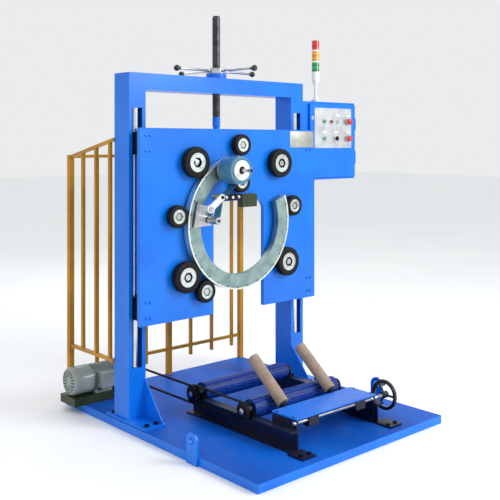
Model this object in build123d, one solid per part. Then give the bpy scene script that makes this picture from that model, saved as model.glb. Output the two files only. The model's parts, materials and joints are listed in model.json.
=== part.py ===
from build123d import *
import os
from math import cos, radians, sin

# Semi-automatic coil wrapping machine, millimetres.
# X runs along the portal, Y towards the back, Z up.
# The origin is the middle of the base plate's underside.

# Allowances shared by every part
CUT = 1.0
RUN = 0.05
FACE_GAP = 0.5

# Base plate
BASE_MARGIN = 20.0
BASE_Y = 1640.0
BASE_H = 42.0
BASE_SKIN = 6.0
BASE_RIB = 60.0
LUG_X = 12.0
LUG_Y = 78.0
LUG_H = 150.0
LUG_HOLE_R = 16.0
LUG_CENTRE_Y = -370.0

# Portal
PORTAL_W = 1300.0
PORTAL_H = 1840.0
PORTAL_FRONT = 200.0
COLUMN_W = 105.0
COLUMN_D = 140.0
COLUMN_WALL = 6.0
BEAM_H = 90.0
POCKET_GAP = 3.0
FOOT_T = 12.0
FOOT_FRONT = 165.0
FOOT_BACK = 60.0
FOOT_SIDE = 14.0
GUSSET_T = 8.0
GUSSET_H = 205.0
GUSSET_INSET = 8.0
GUSSET_TOE = 12.0
ANCHOR_R = 8.0
BOLT_HEAD_H = 10.0
BOLT_HEAD_RATIO = 1.8
BOLT_DEPTH = 20.0
BOLT_IN_FRONT = 32.0
BOLT_IN_BACK = 24.0
BOLT_OFFSETS = (-24.0, 34.0)

# Guide rods inside the columns
ROD_R = 22.5
ROD_COVER = 8.5
CLAMP_H = 40.0
CLAMP_WALL = 4.5

# Ring panel that slides up and down the rods
PANEL_FRONT = 100.0
PANEL_D = 25.0
PANEL_SHEET = 5.0
PANEL_BOTTOM = 518.0
PANEL_OVER_WHEEL = 90.0
SLOT_W = 380.0
SLOT_CENTRE = 30.0
SLOT_TOP = 1140.0
SLOT_R = 60.0
ROD_HEADROOM = 46.0
POCKET_END = 8.0
CLAMP_GAP = 10.0
LIFT_DOWN = 250.0
BEARING_WALL = 5.5
BEARING_H = 120.0
BEARING_END = 20.0

# Lead screw, its bracket and the capstan nut
SCREW_R = 24.0
SCREW_PITCH = 8.0
SHANK_R = 20.0
SHANK_TOP = 72.0
SCREW_OVER_BEAM = 366.0
BRACKET_W = 140.0
BRACKET_T = 16.0
BRACKET_DROP = 45.0
BRACKET_REACH = 36.0
RIB_T = 10.0
RIB_H = 90.0
RIB_TOE = 12.0
RIB_SHORT = 20.0
COLLAR_OVER = 10.0
COLLAR_H = 12.0
FOOT_NUT_OVER = 12.0
FOOT_NUT_H = 18.0
SCREW_CLEAR = 4.0
HOUSING_R = 60.0
HOUSING_H = 30.0
HUB_R = 55.0
HUB_H = 30.0
HUB_CHAMFER = 4.0
ARMS = 4
ARM_R = 7.0
ARM_REACH = 305.0
ARM_TURN = 4.5
ARM_DEPTH = 8.0
KNOB_R = 17.5

# Wrapping ring and its guide wheels
RING_CENTRE = 1020.0
RING_R = 375.0
RING_WIDTH = 85.0
RING_T = 40.0
RING_GAP_FROM = 22.0
RING_GAP_TO = 92.0
RING_STANDOFF = 10.0
TRACK_GAP = 0.3
BIG_R = 85.0
BIG_HUB_R = 58.0
SMALL_R = 61.0
SMALL_HUB_R = 44.0
BIG_ANGLES = (132.0, 45.5, 216.0, 326.0)
SMALL_ANGLES = (87.6, 172.5, 9.6, 236.0)
INNER_ANGLE = 87.0
AXLE_R = 10.0
RECESS_DEPTH = 14.0
AXLE_NUT_R = 16.0
AXLE_NUT_H = 10.0
AXLE_TAIL = 14.0
AXLE_HEAD = 8.0
AXLE_SHOULDER = 8.0
TYRE_ROUND = 5.0
RECESS_RATIO = 0.42
DRIVE_CLEAR = 2.0
DRIVE_SHAFT_L = 60.0
DRIVE_SHAFT_INSET = 4.0

# Film roll, its spindle and the tension rollers, all on the ring
FILM_R = 77.0
FILM_LENGTH = 118.0
CORE_R = 38.0
FILM_OUT = 30.0
FILM_ANGLE = 111.0
FILM_STANDOFF = 15.0
SPINDLE_R = 10.0
SPINDLE_TIP = 80.0
SPINDLE_FLANGE_R = 30.0
SPINDLE_FLANGE_GAP = 3.0
CAP_R = 55.0
CAP_T = 6.0
BACK_FLANGE_R = 72.0
CAP_RECESS_R = 22.0
CAP_RECESS_L = 20.0
LEVER_PIVOT_IN = 22.0
LEVER_ANGLE = 162.0
LEVER_LENGTH = 100.0
LEVER_SLOPE = 36.0
LEVER_T = 10.0
LEVER_W = 44.0
LEVER_FRONT = 95.0
LEVER_WAIST = 0.8
LEVER_END_R = 17.6
LEVER_BOSS_R = 16.0
PIVOT_PIN_R = 8.0
PIVOT_HEAD_R = 13.0
PIVOT_HEAD_OUT = 6.0
TENSION_R = 18.0
TENSION_PIN_R = 6.0
PIN_TAIL = 18.0
ROLLER_TAIL = 20.0
FIXED_OVER = 2.0
FIXED_PIN_OUT = 4.0
ROLLER_SIDE = 1.0
FIXED_INSIDE = 44.0
FIXED_ANGLE = 173.0
BRACKET_PLATE = 8.0
BRACKET_LIFT = 6.0
BRACKET_OUT = 36.0
BRACKET_INNER = (166.0, 180.0)
BRACKET_OUTER = (157.0, 181.0)
BRACKET_STUDS = (160.5, 177.5)
STUD_R = 14.0
STUD_OUT = 10.0

# Guide arm and pad above the slot
GUIDE_ARM_L = 150.0
GUIDE_ARM_H = 30.0
GUIDE_ARM_T = 40.0
GUIDE_PAD_L = 110.0
GUIDE_PAD_H = 74.0
GUIDE_GAP = 8.0
GUIDE_ARM_IN = 30.0
GUIDE_ARM_CHAMFER = 10.0
GUIDE_PAD_ROUND = 6.0

# Gear motor behind the panel
GEARBOX_W = 130.0
GEARBOX_D = 110.0
GEARBOX_ROUND = 16.0
GEARBOX_BORE = 62.0
RING_MOTOR_R = 70.0
RING_MOTOR_L = 170.0

# Roller bed
BED_CENTRE = 22.0
BED_HALF = 300.0
BED_FRONT = -670.0
BED_BACK = 130.0
RAIL_H = 100.0
RAIL_FLANGE = 45.0
RAIL_T = 8.0
BED_FOOT_Y = 100.0
BED_FOOT_X = 90.0
BED_FOOT_T = 10.0
BED_BOLT_R = 11.2
BED_BOLT_H = 8.0
BED_BOLT_APART = 56.0
BED_BOLT_BACK = 20.0
ROLLER_R = 50.0
ROLLER_GAP = 8.0
ROLLER_Z = 125.0
ROLLER_CHAMFER = 3.0
FRONT_ROLLER_Y = -340.0
REAR_ROLLER_Y = 50.0
SHAFT_R = 15.0
PILLOW_W = 38.0
PILLOW_L = 110.0
PILLOW_FOOT_H = 12.0
PILLOW_WALL = 17.0
SHAFT_END = 4.0
SPROCKET_R = 38.0
SPROCKET_T = 10.0
SPROCKET_GAP = 6.0
CHAIN_T = 12.0
CHAIN_W = 14.0
CHAIN_CLEAR = 0.4
CHAIN_APART = 4.0

# Cross slide with the leaning guide rollers
COVER_FRONT = -658.0
COVER_D = 173.0
COVER_T = 8.0
COVER_TOP = 150.0
COVER_HALF = 292.0
COVER_LIP = 2.0
END_PLATE_T = 12.0
CROSS_SCREW_R = 10.0
CROSS_SCREW_Y = -645.0
CROSS_SCREW_Z = 126.0
CROSS_PITCH = 5.0
CROSS_END = 10.0
BLOCK_HALF = 35.0
BLOCK_Y = 36.0
BLOCK_Z = 44.0
BLOCK_FRONT = 14.0
BLOCK_UNDER = 2.0
SLIDE_REST = 175.0
GUIDE_R = 31.0
GUIDE_L = 296.0
GUIDE_PIN_R = 10.0
GUIDE_PIN_IN = 32.0
GUIDE_PIN_OUT = 2.0
GUIDE_BORE_END = 10.0
GUIDE_CHAMFER = 2.0
GUIDE_FOOT_R = 18.0
GUIDE_FOOT_L = 14.0
GUIDE_FOOT_GAP = 1.0
GUIDE_TILT = 39.0
GUIDE_BEFORE_ROLLER = 56.0
GUIDE_BASE_Z = 152.0
SLIDE_ARM_T = 14.0
SLIDE_ARM_HALF = 20.0
POST_FRONT = 24.0
POST_BACK = 6.0
POST_DROP = 14.0
WHEEL_RIM_R = 80.0
WHEEL_TUBE_R = 9.0
WHEEL_HUB_R = 18.0
WHEEL_HUB_L = 34.0
WHEEL_CLEAR = 20.0
WHEEL_ROUND = 0.6
SPOKE_R = 6.0
SPOKES = 3
CRANK_L = 62.0
CRANK_R = 11.0
CRANK_ANGLE = -65.0

# Roller drive at the back left
MOTOR_Y = 690.0
MOTOR_R = 79.0
MOTOR_OVERHANG = 58.0
FAN_COVER_L = 120.0
FAN_COVER_ROUND = 12.0
MOTOR_BODY_L = 150.0
MOTOR_BODY_IN = 6.0
TERMINAL_END = 30.0
TERMINAL_OUT = 32.0
TERMINAL_IN = 30.0
TERMINAL_HALF = 42.0
MOTOR_FEET_END = 15.0
MOTOR_FEET_HALF = 62.0
MOTOR_FEET_H = 22.0
MOTOR_FLANGE_R = 80.0
MOTOR_FLANGE_T = 20.0
REDUCER_W = 160.0
REDUCER_SIDE = 12.0
REDUCER_TOP = 10.0
REDUCER_ROUND = 24.0
REDUCER_BOSS_L = 14.0
REDUCER_BOSS_WALL = 14.0
REDUCER_BORE = 60.0
REDUCER_GAP = 8.0
OUTPUT_SHAFT_L = 58.0
MOTOR_FOOT = 80.0
BRACKET_OVER = 6.0
BRACKET_SHORT = 30.0
BRACKET_SHEET = 8.0

# Control box on the right column
BOX_W = 490.0
BOX_H = 500.0
BOX_D = 200.0
BOX_BOTTOM = 1232.0
BOX_SHEET = 3.0
BOX_LIP = 40.0
DOOR_W = 430.0
DOOR_H = 470.0
DOOR_D = 15.0
DOOR_FROM_EDGE = 10.0
DOOR_GAP = 0.5
HINGE_R = 4.0
HINGE_SLEEVE_R = 7.0
HINGE_L = 60.0
HINGE_SPLIT = 5
HINGE_IN = 3.0
HINGE_BACK = 2.0
HINGE_EAR_L = 14.0
HINGE_EAR_GAP = 0.1
HINGE_PLAY = 1.0
HINGE_NOTCH = 16.0
HINGE_NOTCH_W = 8.0
TOWER_WIRE_R = 6.0
PLATE_W = 350.0
PLATE_H = 257.0
PLATE_T = 2.0
PLATE_DROP = 25.0
ROW_UP = 43.0
ROW_DOWN = -67.0
BUTTON_R = 11.0
BUTTON_DEPTH = 10.0
BUTTON_OUT = 5.0
BUTTON_CHAMFER = 1.0
LAMP_OUT = 6.0
LAMP_ROUND = 3.0
SELECTOR_OUT = 4.0
GRIP_OUT = 18.0
GRIP_HALF = 4.0
GRIP_OVER = 3.0
GRIP_ROUND = 2.0
BEZEL_R = 14.5
BEZEL_H = 5.0
MUSHROOM_R = 20.0
MUSHROOM_STEM = 12.0
MUSHROOM_TOP = 22.0
MUSHROOM_UNDER = 8.0
MUSHROOM_ROUND = 6.0
LAMP_X = (-87.0, -20.0)
SELECTOR_X = (45.0, 24.0)
MUSHROOM_X = 142.0

# Signal tower
TOWER_X = 168.0
TOWER_Y = 50.0
TOWER_R = 25.0
TOWER_POLE_R = 9.0
TOWER_POLE_H = 100.0
TOWER_BOSS_R = 28.0
TOWER_BOSS_H = 16.0
TOWER_NUT_H = 18.0
TOWER_NUT_R = 17.0
TOWER_TAPER = 9.0
TOWER_TAPER_H = 25.0
TOWER_STEM_R = 10.0
TOWER_STEM_SHORT = 10.0
TOWER_BODY_H = 80.0
LENS_H = 60.0
LENS_PITCH = 71.0
LENS_WALL = 4.0
SPACER_IN = 1.5
LENSES = 3

# Fence
FENCE_OUT = 2.0
FENCE_Y = 800.0
FENCE_POST = 30.0
FENCE_BAR = 18.0
FENCE_BAYS = 4
FENCE_BACK_TOP = 1398.0
FENCE_SIDE_RISE = 97.0
FENCE_SIDE_RAIL = 292.0
FENCE_BACK_RAIL = 150.0
FENCE_BAR_END = 96.0
FENCE_SIDE_PITCH = 140.0
FENCE_BACK_PITCH = 175.0

# Values that follow from the ones above
BASE_X = PORTAL_W + 2 * BASE_MARGIN
ROD_BEHIND_FACE = ROD_R + ROD_COVER
BEARING_W = 2 * (ROD_R + BEARING_WALL)
POCKET_W = BEARING_W + 2 * POCKET_GAP
CLAMP_D = ROD_BEHIND_FACE + ROD_R + CLAMP_WALL - COLUMN_WALL
FENCE_X = -(PORTAL_W / 2 + FENCE_OUT)
MOTOR_LEFT = -BASE_X / 2 - MOTOR_OVERHANG
DECK = BASE_H
PORTAL_HALF = PORTAL_W / 2
PORTAL_BACK = PORTAL_FRONT + COLUMN_D
PORTAL_MID_Y = PORTAL_FRONT + COLUMN_D / 2
BEAM_TOP = DECK + PORTAL_H
BEAM_BOTTOM = BEAM_TOP - BEAM_H
ROD_X = PORTAL_HALF - COLUMN_W / 2
ROD_Y = PORTAL_FRONT + ROD_BEHIND_FACE
PANEL_Z0 = DECK + PANEL_BOTTOM
PANEL_H = RING_CENTRE + RING_R + SMALL_R + PANEL_OVER_WHEEL - PANEL_BOTTOM
PANEL_Z1 = PANEL_Z0 + PANEL_H
PANEL_BACK = PANEL_FRONT + PANEL_D
BEARING_LOW = PANEL_Z0 + BEARING_END + BEARING_H / 2
BEARING_HIGH = PANEL_Z1 - BEARING_END - BEARING_H / 2
POCKET_Z0 = BEARING_LOW - BEARING_H / 2 - LIFT_DOWN - POCKET_END
POCKET_Z1 = BEAM_BOTTOM - ROD_HEADROOM - CLAMP_H - CLAMP_GAP
LIFT_UP = POCKET_Z1 - POCKET_END - BEARING_HIGH - BEARING_H / 2
ROD_Z0 = POCKET_Z0 - CLAMP_GAP - CLAMP_H
ROD_Z1 = POCKET_Z1 + CLAMP_GAP + CLAMP_H
HUB_Z0 = BEAM_TOP + HOUSING_H + FACE_GAP
RING_Z = DECK + RING_CENTRE
RING_IN_R = RING_R - RING_WIDTH
LEVER_PIVOT_R = RING_IN_R + LEVER_PIVOT_IN
FIXED_R = RING_IN_R - FIXED_INSIDE
RING_BACK = PANEL_FRONT - RING_STANDOFF
RING_FRONT = RING_BACK - RING_T
ROLLER_AXIS_Z = DECK + ROLLER_Z
RAIL_TOP = DECK + RAIL_H
BED_LEFT = BED_CENTRE - BED_HALF
BED_RIGHT = BED_CENTRE + BED_HALF
LINK_X = BED_LEFT - RAIL_FLANGE - SPROCKET_GAP - SPROCKET_T / 2
DRIVE_X = LINK_X - CHAIN_W - CHAIN_APART
COVER_Z = DECK + COVER_TOP
GUIDE_BASE_Y = FRONT_ROLLER_Y - ROLLER_R - GUIDE_BEFORE_ROLLER
SCREW_LINE_Z = DECK + CROSS_SCREW_Z
BOX_X0 = PORTAL_HALF
BOX_X1 = PORTAL_HALF + BOX_W
BOX_Z0 = DECK + BOX_BOTTOM
BOX_Z1 = BOX_Z0 + BOX_H
DOOR_X1 = BOX_X1 - DOOR_FROM_EDGE
DOOR_X0 = DOOR_X1 - DOOR_W
DOOR_Z0 = BOX_Z0 + (BOX_H - DOOR_H) / 2
DOOR_Z1 = DOOR_Z0 + DOOR_H
DOOR_FRONT = PORTAL_FRONT - DOOR_GAP - DOOR_D
PLATE_X = (DOOR_X0 + DOOR_X1) / 2
PLATE_Z = DOOR_Z1 - PLATE_DROP - PLATE_H / 2
PLATE_FRONT = DOOR_FRONT - PLATE_T
BEZEL_FRONT = PLATE_FRONT - BEZEL_H
HINGE_X = DOOR_X1 + HINGE_SLEEVE_R - HINGE_IN
HINGE_Y = DOOR_FRONT + HINGE_SLEEVE_R - HINGE_BACK


def block(x0, x1, y0, y1, z0, z1):
    """A box between two corners."""
    size = Box(x1 - x0, y1 - y0, z1 - z0)
    return Pos((x0 + x1) / 2, (y0 + y1) / 2, (z0 + z1) / 2) * size


def rod_x(radius, x0, x1, y, z):
    return Pos((x0 + x1) / 2, y, z) * Rot(0, 90, 0) * Cylinder(radius, x1 - x0)


def rod_y(radius, y0, y1, x, z):
    return Pos(x, (y0 + y1) / 2, z) * Rot(90, 0, 0) * Cylinder(radius, y1 - y0)


def rod_z(radius, z0, z1, x, y):
    return Pos(x, y, (z0 + z1) / 2) * Cylinder(radius, z1 - z0)


def hexagon_z(radius, z0, z1, x, y):
    return Pos(x, y, z0) * extrude(RegularPolygon(radius, 6), z1 - z0)


def plate_yz(points, x0, x1):
    """A flat plate whose outline is given as (y, z) points."""
    face = make_face(Polyline(*[(x0, y, z) for y, z in points], close=True))
    return extrude(face, x1 - x0, dir=(1, 0, 0))


def plate_xz(points, y0, y1):
    """A flat plate whose outline is given as (x, z) points."""
    face = make_face(Polyline(*[(x, y0, z) for x, z in points], close=True))
    return extrude(face, y1 - y0, dir=(0, 1, 0))


def on_ring(radius, angle):
    """The x and z of a point at this radius and angle from the ring's centre."""
    return radius * cos(radians(angle)), RING_Z + radius * sin(radians(angle))


def save(name, *solids):
    """Write one node, with each separate solid kept apart."""
    pieces = [piece for shape in solids for piece in shape.solids()]
    shape = pieces[0] if len(pieces) == 1 else Compound(children=pieces)
    shape.label = name
    export_step(shape, f"parts/{name}.step")


# ---------------------------------------------------------------- base and portal


def foot_bolts(side):
    """Centres of the bolts in one column's foot plate."""
    middle = side * ROD_X
    front = PORTAL_FRONT - FOOT_FRONT + BOLT_IN_FRONT
    back = PORTAL_BACK + FOOT_BACK - BOLT_IN_BACK
    return [(middle + side * dx, y) for dx in BOLT_OFFSETS for y in (front, back)]


def bed_foot_centre(side):
    return BED_CENTRE + side * (BED_HALF + RAIL_FLANGE / 2), BED_FRONT - BED_FOOT_Y / 2


def base_plate():
    skin = block(-BASE_X / 2, BASE_X / 2, -BASE_Y / 2, BASE_Y / 2, BASE_H - BASE_SKIN, BASE_H)
    tray = block(-BASE_X / 2, BASE_X / 2, -BASE_Y / 2, BASE_Y / 2, 0, BASE_H)
    half_x = BASE_X / 2 - BASE_RIB
    half_y = BASE_Y / 2 - BASE_RIB
    rib = BASE_RIB / 2
    for x0, x1 in ((-half_x, -rib), (rib, half_x)):
        for y0, y1 in ((-half_y, -rib), (rib, half_y)):
            tray -= block(x0, x1, y0, y1, -CUT, BASE_H - BASE_SKIN)
    plate = tray + skin
    lugs = []
    for side in (-1, 1):
        for x, y in foot_bolts(side):
            plate -= rod_z(ANCHOR_R, -CUT, BASE_H + CUT, x, y)
        lugs.append(lifting_lug(*sorted((side * BASE_X / 2, side * (BASE_X / 2 + LUG_X)))))
    return [plate] + lugs


def lifting_lug(x0, x1):
    """An eye plate welded to the base plate's edge."""
    round_z = LUG_H - LUG_Y / 2
    lug = block(x0, x1, LUG_CENTRE_Y - LUG_Y / 2, LUG_CENTRE_Y + LUG_Y / 2, 0, round_z)
    lug += rod_x(LUG_Y / 2, x0, x1, LUG_CENTRE_Y, round_z)
    return lug - rod_x(LUG_HOLE_R, x0 - CUT, x1 + CUT, LUG_CENTRE_Y, round_z)


def column(side):
    """Box column with its foot plate, front gusset, pocket and rod clamps."""
    outer = side * PORTAL_HALF
    inner = side * (PORTAL_HALF - COLUMN_W)
    x0, x1 = sorted((outer, inner))
    foot_top = DECK + FOOT_T
    tube = block(x0, x1, PORTAL_FRONT, PORTAL_BACK, foot_top, BEAM_BOTTOM)
    tube -= block(x0 + COLUMN_WALL, x1 - COLUMN_WALL, PORTAL_FRONT + COLUMN_WALL,
                  PORTAL_BACK - COLUMN_WALL, foot_top - CUT, BEAM_BOTTOM + CUT)
    middle = (x0 + x1) / 2
    for z0 in (ROD_Z0, ROD_Z1 - CLAMP_H):
        z1 = z0 + CLAMP_H
        clamp = block(x0 + COLUMN_WALL, x1 - COLUMN_WALL, PORTAL_FRONT + COLUMN_WALL,
                      PORTAL_FRONT + COLUMN_WALL + CLAMP_D, z0, z1)
        tube += clamp - rod_z(ROD_R, z0 - CUT, z1 + CUT, middle, ROD_Y)
    tube -= block(middle - POCKET_W / 2, middle + POCKET_W / 2, PORTAL_FRONT - CUT,
                  PORTAL_FRONT + COLUMN_WALL + CUT, POCKET_Z0, POCKET_Z1)
    foot = block(x0 - FOOT_SIDE, x1 + FOOT_SIDE, PORTAL_FRONT - FOOT_FRONT,
                 PORTAL_BACK + FOOT_BACK, DECK, foot_top)
    for x, y in foot_bolts(side):
        foot -= rod_z(ANCHOR_R, DECK - CUT, foot_top + CUT, x, y)
    gusset_x = sorted((inner, inner + side * GUSSET_T))
    toe_y = PORTAL_FRONT - FOOT_FRONT + GUSSET_INSET
    outline = [(PORTAL_FRONT, foot_top), (toe_y, foot_top),
               (toe_y, foot_top + GUSSET_TOE), (PORTAL_FRONT, foot_top + GUSSET_H)]
    return [tube, foot, plate_yz(outline, *gusset_x)]


def anchor_bolts():
    """Hex bolts through the column feet, and screws through the bed's front feet."""
    bolts = []
    foot_top = DECK + FOOT_T
    for side in (-1, 1):
        for x, y in foot_bolts(side):
            shank = rod_z(ANCHOR_R, BASE_H - BOLT_DEPTH, foot_top, x, y)
            head = hexagon_z(ANCHOR_R * BOLT_HEAD_RATIO, foot_top, foot_top + BOLT_HEAD_H, x, y)
            bolts.append(shank + head)
        x, y = bed_foot_centre(side)
        for dx in (-BED_BOLT_APART / 2, BED_BOLT_APART / 2):
            top = DECK + BED_FOOT_T
            bolts.append(hexagon_z(BED_BOLT_R, top, top + BED_BOLT_H, x + dx, y - BED_BOLT_BACK))
    return bolts


def top_beam():
    """Rectangular tube across both columns, with capped ends and the screw's hole."""
    beam = block(-PORTAL_HALF, PORTAL_HALF, PORTAL_FRONT, PORTAL_BACK, BEAM_BOTTOM, BEAM_TOP)
    wall = COLUMN_WALL
    beam -= block(-PORTAL_HALF + wall, PORTAL_HALF - wall, PORTAL_FRONT + wall,
                  PORTAL_BACK - wall, BEAM_BOTTOM + wall, BEAM_TOP - wall)
    return beam - rod_z(SCREW_R + SCREW_CLEAR, BEAM_BOTTOM - CUT, BEAM_TOP + CUT, 0, PORTAL_MID_Y)


def guide_rods():
    return [rod_z(ROD_R, ROD_Z0, ROD_Z1, side * ROD_X, ROD_Y) for side in (-1, 1)]


def fence():
    """Safety fence: a level back panel and a side panel that rises to the column."""
    half = FENCE_POST / 2
    bar = FENCE_BAR / 2
    back_top = DECK + FENCE_BACK_TOP
    tubes = []
    right_x = -FENCE_X
    posts = (FENCE_X, FENCE_X + FENCE_BACK_PITCH * FENCE_BAYS, right_x)
    for x in posts:
        tubes.append(block(x - half, x + half, FENCE_Y - half, FENCE_Y + half, DECK, back_top))
    for start, end in zip(posts, posts[1:]):
        for z in (back_top - FENCE_BAR, DECK + FENCE_BACK_RAIL):
            tubes.append(block(start + half, end - half, FENCE_Y - bar, FENCE_Y + bar, z, z + FENCE_BAR))
        bars = int((end - start) // FENCE_BACK_PITCH)
        for index in range(1, bars + 1):
            x = start + index * FENCE_BACK_PITCH
            if end - x > FENCE_POST:
                tubes += fence_bar(x, FENCE_Y, DECK + FENCE_BACK_RAIL, back_top - FENCE_BAR)
                low = DECK + FENCE_BACK_RAIL
                tubes.append(block(x - bar, x + bar, FENCE_Y - bar, FENCE_Y + bar,
                                   DECK + FENCE_BAR_END, low))
    front = PORTAL_BACK
    back = FENCE_Y - half
    rise = FENCE_SIDE_RISE / (back - front)
    side_rail = DECK + FENCE_SIDE_RAIL
    tubes.append(block(FENCE_X - bar, FENCE_X + bar, front, back, side_rail, side_rail + FENCE_BAR))
    low_end = back_top - FENCE_BAR
    slope = [(back, low_end), (front, low_end + FENCE_SIDE_RISE),
             (front, low_end + FENCE_SIDE_RISE + FENCE_BAR), (back, low_end + FENCE_BAR)]
    tubes.append(plate_yz(slope, FENCE_X - bar, FENCE_X + bar))
    count = int((back - front) // FENCE_SIDE_PITCH)
    for index in range(1, count + 1):
        y = back - index * FENCE_SIDE_PITCH + half
        ends = [(y + dy, low_end + (back - y - dy) * rise) for dy in (-bar, bar)]
        outline = [(y + bar, side_rail + FENCE_BAR), (y - bar, side_rail + FENCE_BAR)] + ends
        tubes.append(plate_yz(outline, FENCE_X - bar, FENCE_X + bar))
    return tubes


def fence_bar(x, y, rail_z, top_z):
    half = FENCE_BAR / 2
    return [block(x - half, x + half, y - half, y + half, rail_z + FENCE_BAR, top_z)]


# ---------------------------------------------------------------- ring panel


def rounded_slot(y0, y1, grow=0.0):
    """The inverted U that the coil passes through, open at the bottom."""
    x0 = SLOT_CENTRE - SLOT_W / 2 - grow
    x1 = SLOT_CENTRE + SLOT_W / 2 + grow
    top = DECK + SLOT_TOP + grow
    slot = block(x0, x1, y0, y1, PANEL_Z0 - CUT, top)
    edges = slot.edges().filter_by(Axis.Y).sort_by(Axis.Z)[-2:]
    return fillet(edges, SLOT_R + grow)


def wheel_places():
    """Name, x, z, tyre radius and hub radius of every guide wheel."""
    places = []
    for index, angle in enumerate(BIG_ANGLES, 1):
        x, z = on_ring(RING_R + BIG_R + TRACK_GAP, angle)
        places.append((f"big_wheel_{index}", x, z, BIG_R, BIG_HUB_R))
    for index, angle in enumerate(SMALL_ANGLES, 1):
        x, z = on_ring(RING_R + SMALL_R + TRACK_GAP, angle)
        places.append((f"small_wheel_{index}", x, z, SMALL_R, SMALL_HUB_R))
    x, z = on_ring(RING_IN_R - SMALL_R - TRACK_GAP, INNER_ANGLE)
    places.append(("inner_wheel", x, z, SMALL_R, SMALL_HUB_R))
    return places


def ring_panel():
    """Folded sheet with a return flange round its edge and round the slot."""
    half = PORTAL_HALF
    sheet = PANEL_SHEET
    panel = block(-half, half, PANEL_FRONT, PANEL_BACK, PANEL_Z0, PANEL_Z1)
    pocket = block(-half + sheet, half - sheet, PANEL_FRONT + sheet, PANEL_BACK + CUT,
                   PANEL_Z0 + sheet, PANEL_Z1 - sheet)
    pocket -= rounded_slot(PANEL_FRONT, PANEL_BACK + CUT, sheet)
    panel -= pocket
    panel -= rounded_slot(PANEL_FRONT - CUT, PANEL_BACK + CUT)
    for name, x, z, _, _ in wheel_places():
        clear = DRIVE_CLEAR if name == "big_wheel_1" else 0.0
        panel -= rod_y(AXLE_R + clear, PANEL_FRONT - CUT, PANEL_FRONT + sheet + CUT, x, z)
    return panel


def slide_bearings():
    """Bearing housings on the panel's back that run on the guide rods."""
    blocks = []
    for side in (-1, 1):
        x = side * ROD_X
        for z in (BEARING_LOW, BEARING_HIGH):
            housing = block(x - BEARING_W / 2, x + BEARING_W / 2, PANEL_FRONT + PANEL_SHEET,
                            ROD_Y + BEARING_W / 2, z - BEARING_H / 2, z + BEARING_H / 2)
            blocks.append(housing - rod_z(ROD_R + RUN, z - BEARING_H, z + BEARING_H, x, ROD_Y))
    return blocks


def screw_bracket():
    """Ribbed angle on the panel's back that carries the foot of the screw."""
    z1 = PANEL_Z1 - BRACKET_DROP
    z0 = z1 - BRACKET_T
    back = PORTAL_MID_Y + BRACKET_REACH
    shelf = block(-BRACKET_W / 2, BRACKET_W / 2, PANEL_FRONT + PANEL_SHEET, back, z0, z1)
    shelf -= rod_z(SHANK_R, z0 - CUT, z1 + CUT, 0, PORTAL_MID_Y)
    start = PANEL_FRONT + PANEL_SHEET
    outline = [(start, z0), (back - RIB_SHORT, z0), (start + RIB_TOE, z0 - RIB_H), (start, z0 - RIB_H)]
    for x in (-BRACKET_W / 2, BRACKET_W / 2 - RIB_T):
        shelf += plate_yz(outline, x, x + RIB_T)
    return shelf


def lead_screw():
    z1 = PANEL_Z1 - BRACKET_DROP
    shank = rod_z(SHANK_R, z1 - BRACKET_T, PANEL_Z1 + SHANK_TOP, 0, PORTAL_MID_Y)
    collar = rod_z(SHANK_R + COLLAR_OVER, z1, z1 + COLLAR_H, 0, PORTAL_MID_Y)
    under = z1 - BRACKET_T
    nut = hexagon_z(SHANK_R + FOOT_NUT_OVER, under - FOOT_NUT_H, under, 0, PORTAL_MID_Y)
    thread = rod_z(SCREW_R, PANEL_Z1 + SHANK_TOP, BEAM_TOP + SCREW_OVER_BEAM, 0, PORTAL_MID_Y)
    return shank + collar + nut + thread


def ring_gearmotor():
    """Gearbox and motor that turn the first big wheel."""
    _, x, z, _, _ = wheel_places()[0]
    y0 = PANEL_FRONT + PANEL_SHEET
    half = GEARBOX_W / 2
    box = block(x - half, x + half, y0, y0 + GEARBOX_D, z - half, z + half)
    box = fillet(box.edges().filter_by(Axis.Y), GEARBOX_ROUND)
    box -= rod_y(AXLE_R + RUN, y0 - CUT, y0 + GEARBOX_BORE, x, z)
    motor = rod_y(RING_MOTOR_R, y0 + GEARBOX_D, y0 + GEARBOX_D + RING_MOTOR_L, x, z)
    return box + motor


def wheel_axles():
    """Shoulder bolts that carry every idle guide wheel."""
    axles = []
    recess = RING_FRONT + RECESS_DEPTH
    back = PANEL_FRONT + PANEL_SHEET
    for name, x, z, _, _ in wheel_places():
        if name == "big_wheel_1":
            continue
        bolt = rod_y(AXLE_R, recess - AXLE_HEAD, back + AXLE_TAIL, x, z)
        bolt += rod_y(AXLE_R + AXLE_SHOULDER, RING_BACK + FACE_GAP, PANEL_FRONT, x, z)
        bolt += rod_y(AXLE_NUT_R, recess - FACE_GAP - AXLE_NUT_H, recess - FACE_GAP, x, z)
        bolt += rod_y(AXLE_NUT_R, back, back + AXLE_NUT_H, x, z)
        axles.append(bolt)
    return axles


def guide_wheel(name, x, z, tyre_r, hub_r):
    """Rubber tyre on a recessed hub."""
    tyre = rod_y(tyre_r, RING_FRONT, RING_BACK, x, z)
    tyre = fillet(tyre.edges(), TYRE_ROUND) - rod_y(hub_r, RING_FRONT - CUT, RING_BACK + CUT, x, z)
    hub = rod_y(hub_r, RING_FRONT, RING_BACK, x, z)
    hub -= rod_y(hub_r * RECESS_RATIO, RING_FRONT - CUT, RING_FRONT + RECESS_DEPTH, x, z)
    if name != "big_wheel_1":
        return [tyre, hub - rod_y(AXLE_R + RUN, RING_FRONT, RING_BACK + CUT, x, z)]
    hub -= rod_y(AXLE_R, RING_FRONT, RING_BACK + CUT, x, z)
    shaft_end = PANEL_FRONT + PANEL_SHEET + DRIVE_SHAFT_L
    shaft = rod_y(AXLE_R, RING_FRONT + DRIVE_SHAFT_INSET, shaft_end, x, z)
    return [tyre, hub, shaft]


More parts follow.
